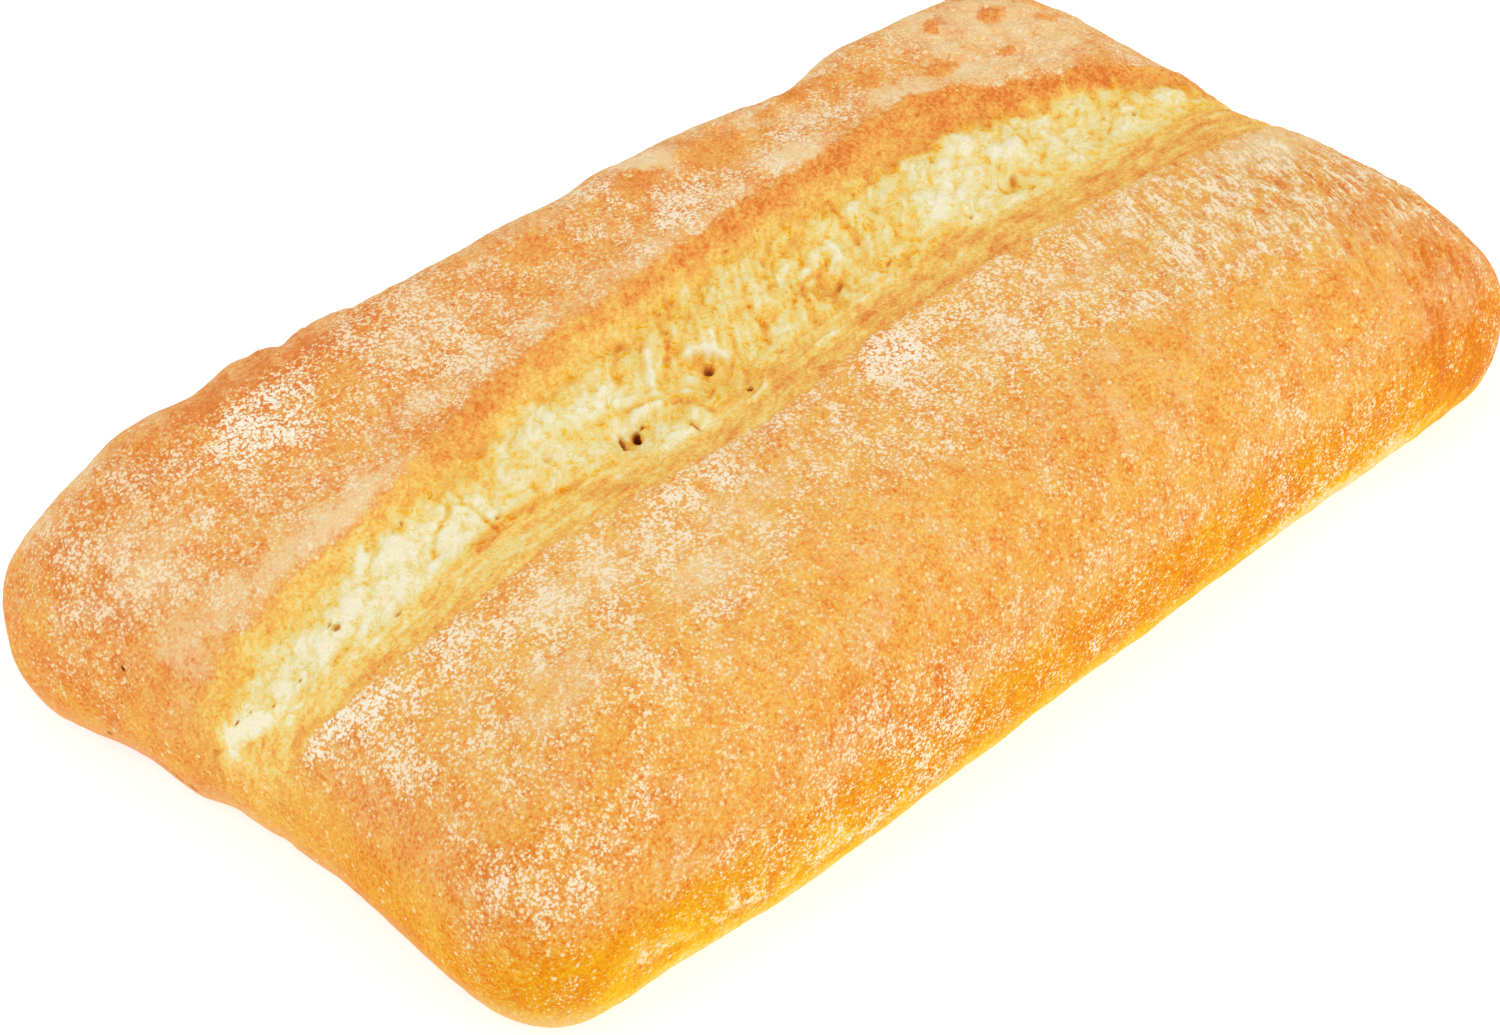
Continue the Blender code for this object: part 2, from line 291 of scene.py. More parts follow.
def pointNormals(points, faces):
    a, b, c, d = (points[faces[:, corner]] for corner in range(4))
    across = np.cross(c - a, d - b)
    total = np.zeros_like(points)
    for axis in range(3):
        for corner in range(4):
            total[:, axis] += np.bincount(faces[:, corner], across[:, axis], len(points))
    return unitRows(total)


noiseSource = np.random.default_rng(41)
noiseOrder = np.tile(noiseSource.permutation(256), 2)
noiseSlopes = unitRows(noiseSource.normal(size=(256, 3)))


def gradientNoise(points):
    # smooth noise with a spacing of one unit, about -1 to 1
    cell = np.floor(points).astype(np.int64)
    part = points - cell
    ease = part ** 3 * (part * (part * 6 - 15) + 10)
    total = np.zeros(len(points))
    for corner in np.ndindex(2, 2, 2):
        place = (cell + corner) & 255
        pick = noiseOrder[noiseOrder[noiseOrder[place[:, 0]] + place[:, 1]] + place[:, 2]]
        share = np.where(corner, ease, 1 - ease)
        weight = share[:, 0] * share[:, 1] * share[:, 2]
        total += weight * np.einsum("ij,ij->i", noiseSlopes[pick], part - corner)
    return total * 1.6              # so that it fills that range


def lumpNoise(points, spacing, octaves=2):
    # spacing in millimetres of the largest lumps; each octave is half as wide and half as high
    total, weight = 0, 1
    for octave in range(octaves):
        total = total + weight * gradientNoise(points / spacing * 2 ** octave + 19.7 * octave)
        weight *= 0.5
    return total


def skinNoise(flat, spacing, stretch=1, angle=0, seed=0, octaves=1):
    # noise over the skin, drawn out by stretch along the direction angle (0 runs along the loaf)
    turn = math.radians(angle)
    along = (flat[:, 0] * math.cos(turn) + flat[:, 1] * math.sin(turn)) / stretch
    across = -flat[:, 0] * math.sin(turn) + flat[:, 1] * math.cos(turn)
    return lumpNoise(np.stack([along, across, np.full(len(flat), seed * 3.7 * spacing)], axis=-1),
                     spacing, octaves)


def foldNoise(flat, spacing, stretch=1, angle=0, seed=0):
    # 0 on soft mounds and up to 1 in the narrow folds between them, where the noise passes through 0
    foldShare = 0.42
    folds = 1 - np.abs(skinNoise(flat, spacing, stretch, angle, seed)) / foldShare
    return np.clip(folds, 0, 1) ** 2


def cellNoise(flat, spacing, seed=0):
    # scattered cells: distance to the nearest and second nearest centre, and the nearest one's own number
    place = flat / spacing
    cell = np.floor(place).astype(np.int64)
    nearest, second, own = np.full(len(flat), 9.0), np.full(len(flat), 9.0), np.zeros(len(flat))
    for stepX in (-1, 0, 1):
        for stepY in (-1, 0, 1):
            corner = cell + (stepX, stepY)
            pick = noiseOrder[noiseOrder[(corner[:, 0] + seed) & 255] + (corner[:, 1] & 255)]
            centre = corner + 0.5 + 0.42 * noiseSlopes[pick, :2]
            gap = np.hypot(*(place - centre).T)
            number = noiseOrder[(pick + 91) & 255] / 255
            closer = gap < nearest
            second = np.where(closer, nearest, np.minimum(second, gap))
            own = np.where(closer, number, own)
            nearest = np.where(closer, gap, nearest)
    return nearest, second, own


def patch(x, y, patches):
    # soft oval patches: along, across, reach along, reach across, amount
    return sum(amount * np.exp(-(((x - along) / reachX) ** 2 + ((y - across) / reachY) ** 2) ** 1.5)
               for along, across, reachX, reachY, amount in patches)


def lineAt(line, x):
    return np.interp(x, *np.array(line).T)


def tapered(share, end):
    # 1 along a stroke, and down to 0 over this share of it at each end
    return ramp(share, 0, end) * (1 - ramp(share, 1 - end, 1))


def strokeGap(x, y, line):
    # distance to a drawn line, and how far along it from 0 to 1
    best, share = np.full(len(x), 1e9), np.zeros(len(x))
    line = np.array(line, float)
    lengths = np.linalg.norm(np.diff(line, axis=0), axis=1)
    starts = np.concatenate([[0], np.cumsum(lengths)]) / lengths.sum()
    for k, (start, end) in enumerate(zip(line[:-1], line[1:])):
        way = end - start
        t = np.clip(((x - start[0]) * way[0] + (y - start[1]) * way[1]) / (way @ way), 0, 1)
        gap = np.hypot(x - start[0] - t * way[0], y - start[1] - t * way[1])
        share = np.where(gap < best, starts[k] + t * (starts[k + 1] - starts[k]), share)
        best = np.minimum(best, gap)
    return best, share


crumb = {
    "point": (-132, 14.8, -117),     # where the crumb ends, along and across, and where it starts to narrow
    # pores that go in deep: along, across, half length, half width, turn, depth, and how dark their painted
    # shade is, where 1 is nearly black
    "pores": (
        (-39.6, 4.6, 1.5, 0.5, 75, 1.6, 0.75), (-37.1, 4.5, 0.95, 0.65, 60, 1.8, 0.85),
        (-35.2, 5.1, 0.5, 0.35, 20, 0.8, 0.5), (-40.6, 3.4, 0.6, 0.35, 40, 0.6, 0.45),
        (-15.2, 8, 1.2, 0.8, 20, 1.2, 0.6), (-15, -2.6, 0.75, 0.65, 40, 1.3, 1),
        (66.4, 8.2, 1.5, 0.8, 55, 0.7, 0.22), (19, 8.5, 1.3, 0.6, 25, 0.8, 0.26),
        (-125.6, 11.6, 0.55, 0.3, 150, 0.5, 0.36), (-123.6, 10.2, 0.35, 0.25, 30, 0.3, 0.26),
        (-120.8, 7.1, 0.35, 0.25, 140, 0.3, 0.3), (-129.6, 14.4, 1.1, 0.3, 120, 0.4, 0.3),
        (-115.4, 5.9, 0.4, 0.3, 10, 0.3, 0.25), (-105.2, 7.6, 0.8, 0.55, 10, 1.2, 0.24),
        (-105.8, 9, 0.8, 0.4, 20, 0.6, 0.2), (-95.6, 2.2, 0.8, 0.5, 10, 0.7, 0.2),
        (-69.4, 5.6, 0.7, 0.5, 0, 0.8, 0.2), (-83.1, 16.1, 0.9, 0.3, 60, 0.5, 0.25),
        (-53.8, 9.4, 1.3, 0.9, 10, 0.6, 0.12), (50.6, 4.4, 0.8, 0.5, 40, 0.6, 0.2),
        (67.4, 3.8, 0.6, 0.4, 20, 0.5, 0.2), (99.4, 6.2, 0.9, 0.6, 20, 0.6, 0.2),
        (-3.4, 0.7, 1, 0.4, 0, 0.6, 0.25), (-29.4, -3.4, 1.7, 0.5, 92, 0.9, 0.25),
        (-24.4, 23.3, 1.4, 0.8, 15, 0.5, 0.22), (7, 27.4, 0.6, 0.4, 0, 0.4, 0.3),
        (15.4, 27.6, 0.5, 0.35, 0, 0.4, 0.3), (63.6, 32.2, 0.8, 0.5, 20, 0.5, 0.3),
        (89, 25, 0.6, 0.5, 20, 0.5, 0.3), (29.4, 5.7, 1.4, 0.4, 15, 0.5, 0.25),
    ),
    # folds and tears drawn as lines: width, depth, and how much painted shade darkens them
    "creases": (
        (((-84, 6), (-81.6, 9.2), (-79.8, 10.6), (-76.8, 12), (-74, 13.2)), 0.7, 1, 0.45),
        (((-74, 13.2), (-72.4, 11.6), (-71.6, 9.2), (-71.4, 6.4), (-71.2, 3.2)), 0.6, 0.9, 0.35),
        (((-78, 1.8), (-75, 1.6), (-72.4, 3.2)), 0.6, 0.6, 0.25),
        (((-130.5, 15.4), (-129, 13.2), (-127.4, 11.6), (-125.2, 11), (-123.4, 10), (-120.8, 7),
          (-118.5, 6.2), (-115.2, 5.8)), 0.28, 0.2, 0.16),
        (((-35.6, 9.4), (-33.6, 9.6), (-31.2, 8.4)), 0.6, 0.8, 0.2),
        (((-38, 8.4), (-35.6, 9.6), (-32, 9.8), (-29, 8)), 0.7, 0.5, 0.15),
        (((-36, 1), (-34, 4.6), (-30, 5.4), (-26.5, 4.4), (-25, 0), (-23.4, -4)), 0.7, 0.8, 0.2),
        (((-25.6, 3.4), (-24.3, 1.4), (-23.6, 0.2)), 0.6, 0.8, 0.25),
        # the painted shadow below the raised plate of crumb
        (((-22.8, 0.4), (-20.4, 2.2), (-19.2, 3.6)), 0.7, 0.9, 0.4),
        (((-20.4, 13), (-19, 15.4), (-16.5, 19), (-15.5, 21)), 0.8, 0.7, 0.25),
        (((-24.6, 9.6), (-22, 12.4), (-19.6, 15.2)), 0.7, 0.6, 0.22),
        (((30.6, 19.6), (30.2, 18.4), (29.6, 14.8), (28.4, 12), (27, 9.2)), 1, 1.2, 0.14),
        (((30.8, 19.8), (31.2, 23), (32.6, 26)), 0.6, 0.5, 0.2),
        (((9.4, 5.8), (10.2, 9), (12.4, 12), (15, 12.8), (19, 12)), 0.7, 0.8, 0.3),
        (((66, 16.4), (65.8, 13.4), (66.6, 10)), 0.5, 0.5, 0.18),
        (((76.2, 17.4), (75.6, 14.4), (74.6, 12.2)), 0.5, 0.6, 0.22),
        (((60.6, 19.4), (62.6, 17.6), (66.4, 17.8)), 0.5, 0.6, 0.15),
        (((86, 14.6), (87.4, 16.4), (90, 15.6)), 0.6, 0.5, 0.15),
        (((99.4, 12), (98, 9.4), (97.6, 7)), 0.6, 0.5, 0.2),
        (((-110, 3.4), (-107, 4), (-105.6, 2.4), (-104, 0.6)), 0.6, 0.6, 0.2),
        (((-95, 9.8), (-91, 10.4), (-87.6, 8.2)), 0.6, 0.5, 0.1),
        (((-66, 3.8), (-62, 4.4), (-57, 2.6), (-50, 2.2)), 0.6, 0.5, 0.15),
        (((0, 2.2), (6, 1.2), (14, 2.6), (24, 2.6), (33, 4.4), (38, 3.4)), 0.5, 0.3, 0.1),
        (((-56, 18), (-50, 20.6), (-44, 21.4)), 0.7, 0.5, 0.12),
        (((-42.8, 8.4), (-42.2, 7.2), (-40.8, 7)), 0.4, 0.5, 0.2),
    ),
    # proud threads, plates and rims of torn dough: width and height
    "ridges": (
        (((-18.5, 12.2), (-16, 12.8), (-14, 11.9), (-12.4, 10.4), (-11.3, 8.4), (-10.6, 6)), 1.1, 1.3),
        (((-19.4, -6.2), (-16, -5.8), (-13.6, -5), (-11.6, -3.2), (-9.8, -2.2)), 0.5, 0.5),
        (((-28, 9.4), (-25.6, 13.2), (-23.4, 16.4), (-21.6, 19)), 0.9, 1),
        (((-25.2, 3.8), (-22.4, 6.2), (-19, 8.6)), 1.6, 0.8),
        (((-36.4, 6.6), (-34, 7.4), (-31, 7), (-28.6, 5.6)), 0.8, 0.9),
        (((-82.6, 7.6), (-79, 9.4), (-75.6, 10.8)), 1.4, 0.5),
        (((8, 15.6), (11.6, 17), (15, 19.2)), 1, 0.6),
        (((14, 13.6), (16.8, 14.6)), 1.1, 0.6),
        (((22, 12), (24, 15), (25, 19)), 1.3, 0.6),
        (((67.4, 16.2), (69.4, 14), (72.6, 13)), 1.2, 0.7),
        (((0, -3.4), (4, -3), (8, -3.2)), 0.8, 0.4),
        (((-128, 12.4), (-125, 9.4), (-121.6, 5.8)), 1.2, 0.4),
    ),
    # rounded lobes: along, across, reach along, reach across, height
    "lobes": (
        (64.2, 21.6, 4.2, 3.6, 1.3), (70, 14.4, 4.4, 3.2, 0.7), (-33, -2.6, 3.2, 3.8, 0.9),
        (-27.4, -2.4, 2.2, 3.8, 0.9), (-88, 12.6, 5, 4, 0.7), (-99, 8, 5.4, 3.4, 0.6),
        (49, 10, 6.4, 4, 0.7), (-52, 14.6, 3, 2, 0.6), (-37.4, 14.2, 4.6, 3.2, 0.8), (82, 7, 6, 4, 0.5),
        (-62, 9, 3.6, 3, 0.5), (34, 21, 2.6, 2.2, 0.7), (40, 25, 2.2, 1.8, 0.5), (2.4, 12, 3, 3.4, 0.5),
        (108, 6, 5, 3, 0.5), (-111, 6.4, 4, 3, 0.4),
    ),
    # hollows darkened inside by painted shade: along, across, reach along, reach across, depth, and how
    # much painted shade
    "hollows": (
        (-16.4, 3.4, 5.6, 6.4, 0.3, 0.08), (14.2, 9, 4.6, 2.8, 0.5, 0.26), (64.2, 6.4, 2.8, 2, 0.4, 0.2),
        (-75.4, 4, 3.6, 2.2, 0.4, 0.2), (-38.6, 3.2, 2.4, 1.6, 0.3, 0.12), (30.6, 16.6, 0.9, 3, 0.4, 0.16),
        (-66, 21, 3.4, 2.6, 0.3, 0.06), (-24.6, 21.8, 2.6, 2.2, 0.2, 0.14), (88, 16, 2.4, 1.4, 0.3, 0.12),
        (-62, 19.6, 3, 1.8, 0.2, 0.06),
    ),
    # where the pale crumb starts and ends over its length
    "paleFrom": (
        (-132, 12), (-127, 9), (-122, 5), (-110, 3.5), (-100, 3), (-90, 2.5), (-82, 3), (-76, 5),
        (-66, 5.5), (-58, 4), (-48, 1.5), (-38, -4), (-26, -5), (-10, 0), (10, 0), (30, 1), (37, 4),
        (45, 4), (52, 1), (60, 0), (118, 0),
    ),
    "paleTo": (
        (-132, 13), (-125, 13), (-105, 13.4), (-92, 15.4), (-80, 17), (-74, 17), (-68, 13), (-63, 15),
        (-59, 19.4), (-45, 20.4), (-36, 20.6), (-20, 24), (0, 25), (20, 25), (40, 24.5), (52, 23.5),
        (64, 25), (76, 23), (86, 21.5), (96, 18), (104, 14), (112, 8), (120, 3),
    ),
    # browning of the line along the edge of the near lobe's flour
    "edging": (
        (-134, 0.1), (-112, 0.14), (-100, 0.18), (-82, 0.14), (-62, 0.08), (-40, 0.12), (-20, 0.04),
        (4, 0.06), (16, 0.14), (42, 0.14), (60, 0.06),
    ),
    # and along the edge of the far lobe's flour
    "farEdging": (
        (-134, 0.1), (-90, 0.12), (-60, 0.12), (-48, 0.24), (20, 0.26), (50, 0.14), (90, 0.1), (120, 0),
    ),
    # a smooth skin without strands
    "calm": ((-18, 3, 4.6, 4.6, 1), (-24, 0.6, 2.4, 2.6, 0.4)),
    # places that browned more or less: along, across, reach along, reach across, amount
    "browning": (
        (-108, -3, 6, 3, 0.16), (-76, -5, 9, 3.5, -0.12), (-48, -6, 6, 4, 0.18), (-12, -4.5, 5, 4, 0.14),
        (16, -4, 6, 3, 0.16), (57, -4.5, 8, 3, 0.12), (78, -6, 8, 3, 0.06), (-110, 6, 5, 3, 0.12),
        (-104, 11, 4, 2, 0.1), (-52, 2, 5, 3, 0.1), (-26, 19, 3, 3, 0.05), (42, 16, 3, 5, 0.14),
        (34, 20, 2, 3, 0.12), (64, 9, 4, 4, 0.08), (70, 21, 9, 4, 0.08), (-6, 5, 5, 4, -0.14),
        (-6, 12, 3, 3, -0.1), (17, 14, 4, 10, -0.1), (29, 15, 2.4, 5, -0.12), (25, 9, 4, 3, -0.12),
        (98, 6, 12, 6, -0.06), (-118, 8, 6, 5, -0.06), (86, 19, 3, 3, -0.1), (-50, 11, 8, 5, -0.06),
        (-102, 0, 4, 2.4, -0.1),
    ),
    # browning over the length of the crumb, of the golden band before it and of the lip behind it:
    # place, and tone from 0 (cream) to 1 (deep brown)
    "bandAlong": (
        (-134, 0.6), (-120, 0.42), (-112, 0.37), (-104, 0.4), (-94, 0.45), (-78, 0.44), (-60, 0.48),
        (-30, 0.5), (4, 0.57), (16, 0.55), (60, 0.57), (134, 0.6),
    ),
    "lipAlong": (
        (-134, 0.6), (-118, 0.42), (-100, 0.4), (-84, 0.42), (-72, 0.54), (-60, 0.64), (-54, 0.56),
        (-44, 0.49), (-30, 0.48), (-12, 0.53), (0, 0.56), (30, 0.62), (48, 0.71), (70, 0.79), (84, 0.79),
        (100, 0.85), (120, 0.74), (134, 0.68),
    ),
    "toneAlong": (
        (-134, 0.2), (-128, 0.06), (-116, 0.06), (-108, 0.1), (-98, -0.01), (-86, -0.06), (-70, 0.07),
        (-55, 0.16), (-44, 0.16), (-34, 0.2), (-24, 0.34), (-10, 0.31), (6, 0.28), (20, 0.31), (33, 0.3),
        (42, 0.17), (60, 0.17), (80, 0.2), (100, 0.21), (112, 0.3), (120, 0.44), (134, 0.5),
    ),
}


crust = {
    # where the flour of the far lobe starts: along and across
    "farEdge": (
        (-134, 16.6), (-112, 17.6), (-95, 17.8), (-80, 19.6), (-66, 24.4), (-50, 28), (-40, 29.6),
        (0, 32.2), (20, 33.6), (40, 35), (48, 37), (56, 38.4), (70, 38), (76, 35), (82, 31), (90, 27.5),
        (100, 24), (105, 21), (110, 18), (120, 13),
    ),
    # white flour in flecks: along, across, reach along, reach across, amount added to the base amount
    "flour": (
        (8, -17, 6, 5, 0.42), (-88, -35, 10, 8, -0.12), (20, -15, 9, 4, 0.08), (40, -18, 26, 7, 0.04),
        (108, -60, 12, 16, -0.16), (-98, -66, 14, 7, -0.12), (-66, -52, 16, 8, -0.08),
        (-116, -38, 10, 14, -0.06), (42, 44, 10, 5, 0.14), (-96, 58, 16, 8, 0.04), (-28, -19, 7, 6, -0.05),
        (-92, 67, 14, 6, -0.2), (-36, -70, 12, 5, 0.14), (-130, 54, 8, 10, 0.1), (11, 40, 10, 6, 0.2),
        (-24, 60, 20, 6, -0.1), (-40, -18, 14, 6, 0.12), (-100, -12, 10, 5, 0.14), (-119, -5, 4, 3, 0.4),
        (-112, -9, 6, 3.4, 0.2), (-114, -24, 3, 10, 0.1), (-114, -54, 7, 9, 0.08),
        (-123, -24, 5, 22, -0.16), (-110, -44, 6, 4, -0.12), (-76, -22, 20, 9, 0.12),
        (-46, -31, 14, 7, 0.04), (-86, -38, 9, 10, 0.1), (28, -36, 28, 12, 0.08), (80, -26, 14, 10, 0.08),
        (-100, -58, 14, 6, 0.12), (-97, -50, 10, 6, -0.18), (-26, -51, 28, 12, -0.22),
        (36, -50, 22, 10, -0.3), (70, -32, 13, 9, 0.04), (104, -30, 14, 14, 0.05), (118, -52, 9, 16, 0.02),
        (86, -56, 18, 9, -0.14), (-86, 51, 9, 9, 0.24), (-118, 44, 15, 16, 0.06), (-52, 45, 12, 8, 0.16),
        (-25, 50, 7, 12, -0.02), (18, 52, 13, 8, -0.08), (2, 58, 9, 4, 0.2), (32, 52, 9, 6, -0.08),
        (-60, 60, 30, 8, 0.1), (98, 52, 10, 5, -0.2), (-78, 70, 20, 9, -0.6), (-44, 36, 14, 4, 0.1),
        (104, 22, 5, 6, -0.2), (-126, 26, 6, 8, -0.2),
    ),
    # thin even veil of flour, in the same five numbers
    "veil": (
        (-72, -20, 15, 7, 0.25), (-54, -34, 12, 5, 0.3), (-38, -27, 8, 5, 0.2), (-88, -35, 10, 8, 0.22),
        (25, -27, 6, 5, 0.2), (79, -27, 4, 8, 0.1), (48, -24, 8, 4, 0.15), (112, -22, 10, 8, 0.3),
        (36, -46, 6, 4, 0.14), (8, -38, 5, 4, 0.12), (98, -19, 6, 4, 0.2), (-82, 52, 18, 13, -0.3),
        (-92, 24, 16, 3, 0.2), (-119, 46, 9, 10, 0.2), (-120, 30, 8, 7, 0.15), (12.7, 57, 7, 5, 0.4),
        (39, 52, 6, 4, 0.2), (36, 38, 9, 4, 0.36), (64, 41, 8, 5, 0.25), (46, 46, 6, 4, 0.2),
        (74, 37, 10, 4, 0.25), (92, 46, 12, 9, 0.28), (102, 31, 14, 8, 0.24), (84, 55, 9, 5, 0.24),
        (106, 46, 10, 12, 0.2), (-54, 48, 6, 5, 0.2), (-26, 50, 8, 10, -0.1), (-96, -50, 14, 6, -0.1),
        (84, 34, 7, 6, 0.25), (-104, 25, 26, 5, 0.2), (-20, 35, 60, 4, 0.16), (0, 60, 60, 5, 0.1),
        (-50, 69, 10, 4, 0.3), (-12, 66, 8, 4, 0.26), (34, 64, 10, 4, 0.26), (64, 62, 8, 4, 0.26),
        (-120, 72, 16, 4, 0.2),
    ),
    # browning that is added to the base amount
    "bake": (
        (15, -50, 16, 8, 0.04), (8, -16, 8, 6, 0.08), (108, -36, 12, 16, 0.05), (-70, 60, 16, 6, 0.05),
        (-28, -19, 8, 7, 0.06), (-38, -68, 18, 6, 0.06), (-128, 46, 8, 16, 0.11), (106, -56, 14, 18, 0.05),
        (116, 30, 8, 24, -0.06), (110, -68, 12, 8, 0.1), (-78, 69, 22, 9, 0.06), (-76, -22, 22, 10, -0.05),
        (-46, -31, 16, 8, -0.05), (116, -58, 12, 20, 0.1), (-120, -32, 8, 24, 0.12),
        (-100, -50, 18, 12, 0.06), (126, -34, 10, 20, 0.06), (-60, 27, 12, 4, 0.12), (-44, 60, 90, 7, 0.05),
        (98, 52, 9, 5, 0.14), (-126, -56, 12, 12, 0.03), (30, -46, 60, 10, 0.03), (-96, 62, 40, 8, 0.08),
        (110, 28, 14, 4, 0.06),
    ),
    "flourBase": (0.46, 0.43),         # near lobe, far lobe
    "toneBase": (0.68, 0.77),
    "blushBase": (0, 0.1),
    "veilBase": (0.29, 0.34),
    # orange spots that stand out of the flour: along, across, reach along, reach across, strength
    "spots": (
        (24, 50, 6, 5, 0.5), (50, 53.4, 4.4, 2, 0.9), (63.6, 46.8, 2.6, 2.6, 0.9), (78.5, 39.8, 4, 2.2, 1),
        (87, 51.6, 3, 1.6, 0.7), (99.8, 46.6, 3.4, 2.6, 0.7), (6.4, 52.7, 4.4, 3.4, 0.8),
        (57.6, 52, 2, 1.4, 0.7), (41.5, 53, 2.4, 1.8, 0.6), (93, 36, 2, 1.5, 0.6), (110, 40, 2.6, 2, 0.6),
        (-20, 53, 4, 3, 0.6),
    ),
    # a pale strip of dry flour along the base of the near side: along and height, reach, strength
    "strips": (
        ((-110, 19), (-97, 15.6), (-90, 15), (-82, 14), (-75, 13.2), (-66, 13), (-57, 13), (-49, 12.4),
          (-40, 12)),
        ((46, 8), (60, 8.4), (72, 8.8), (86, 9), (98, 9.4), (112, 11)),
    ),
    "stripLumps": (
        (-59.4, 13.4, 3.2, 1), (-42, 12.4, 2.8, 0.8), (-72.4, 12.2, 2.6, 0.4), (-90, 13, 3.6, 0.6),
        (-104, 16.6, 4.6, 0.6), (26, 10, 2.4, 0.2), (66, 8, 7, 0.5), (80, 8, 8, 0.7), (94, 8.4, 8, 0.6),
    ),
    # wrinkles that run across the near lobe, and blisters and creases of the far lobe
    "wrinkles": ((84, -28, 42, 24, 0.8), (110, -46, 18, 26, 0.9), (-30, -22, 30, 10, 0.4)),
    "blisters": ((98, 46, 24, 18, 0.7), (30, 54, 22, 9, 0.7), (-72, 66, 26, 9, 0.7)),
    "furrows": (
        (((84, 52), (92, 46), (99, 38)), 0.8, 0.55),
        (((93, 54), (100, 49), (108, 40)), 0.8, 0.5),
        (((78, 47), (82, 42), (87, 37)), 0.9, 0.45),
        (((104, 56), (110, 50), (114, 42)), 0.9, 0.45),
        (((88, 40), (96, 33), (104, 29)), 0.7, 0.3),
    ),
    # the slit of the near end and the small cracks near its base: across, height, then half width and
    # depth, or half length and half height
    "slit": (((14.6, 25), (13.8, 19), (13, 13), (13.6, 7)), 0.3, 0.4),
    "baseCracks": (
        (24.6, 6.2, 1.7, 1.1), (28, 7, 1, 0.7), (21, 5.6, 1.2, 1), (41, 6.8, 1, 0.8), (-18, 6, 1.2, 0.7),
    ),
    "speck": (37.1, 26.3, 0.3),        # a dark speck on the near end: across, height, radius
}


# layers of noise drawn out over the skin of the split, as
# (spacing, stretch, direction, seed, relief in millimetres, browning)
splitLayers = {
    "crumb": ((5, 1.6, 50, 4, 0.35, 0), (11, 1.5, 30, 9, 0, 0.16), (3.2, 2.2, 52, 10, 0, 0.1)),
    "band": ((1.3, 7, 6, 7, 0.3, 0.16), (3, 4, 8, 14, 0.3, 0), (9, 2, 0, 11, 0, 0.08),
             (2.4, 2.6, 14, 14, 0, 0.24)),
    "lip": ((1.5, 1.4, 20, 8, 0.16, 0.14), (6, 1.5, 30, 12, 0, 0.09)),
}

# the same two amounts for each texture of the torn crumb; the tone is browner in the folds, which is
# painted shade, and paler on the puffs, lumps and strands
tornLook = {"puffs": (0.32, -0.06), "lumps": (0.3, -0.06), "bigFolds": (-0.34, 0.13),
            "fineFolds": (-0.16, 0.1), "strands": (0.2, -0.09), "grain": (0.08, 0.05)}


def layered(flat, layers):
    relief, tone = 0, 0
    for spacing, stretch, angle, seed, height, brown in layers:
        layer = skinNoise(flat, spacing, stretch, angle, seed, 2)
        relief, tone = relief + height * layer, tone + brown * layer
    return relief, tone


def splitZones(bodyX, bodyY, wander):
    # how far each point is in the crumb, the golden band before it, the lip behind it and the split
    nearCrust, nearCrumb, farCrumb, farCrust = (splitLine(name, bodyX) for name in splitLines)
    # towards the near end the crumb runs out in a point
    tip, middle, full = crumb["point"]
    pinch = 1 - ramp(bodyX, tip, full)
    nearCrumb = nearCrumb + (middle - 0.3 - nearCrumb) * pinch
    farCrumb = farCrumb + (middle + 0.3 - farCrumb) * pinch
    inCrumb = (ramp(bodyY + 0.7 * wander, nearCrumb - 1.2, nearCrumb + 1.6)
               * (1 - ramp(bodyY + wander, farCrumb - 2.5, farCrumb + 1.5)) * (1 - 0.5 * pinch))
    inSplit = (ramp(bodyY, nearCrust - 0.2, nearCrust + 0.8)
               * (1 - ramp(bodyY + 0.6 * wander, farCrust - 1.5, farCrust + 0.5)))
    inBand = inSplit * (1 - ramp(bodyY, nearCrumb - 1.5, nearCrumb + 1))
    inLip = inSplit * ramp(bodyY, farCrumb - 1, farCrumb + 3)
    inside = (ramp(bodyY, nearCrust - 0.6, nearCrust + 0.4)
              * (1 - ramp(bodyY, farCrust - 0.2, farCrust + 1.2)))
    return inCrumb, inBand, inLip, inside


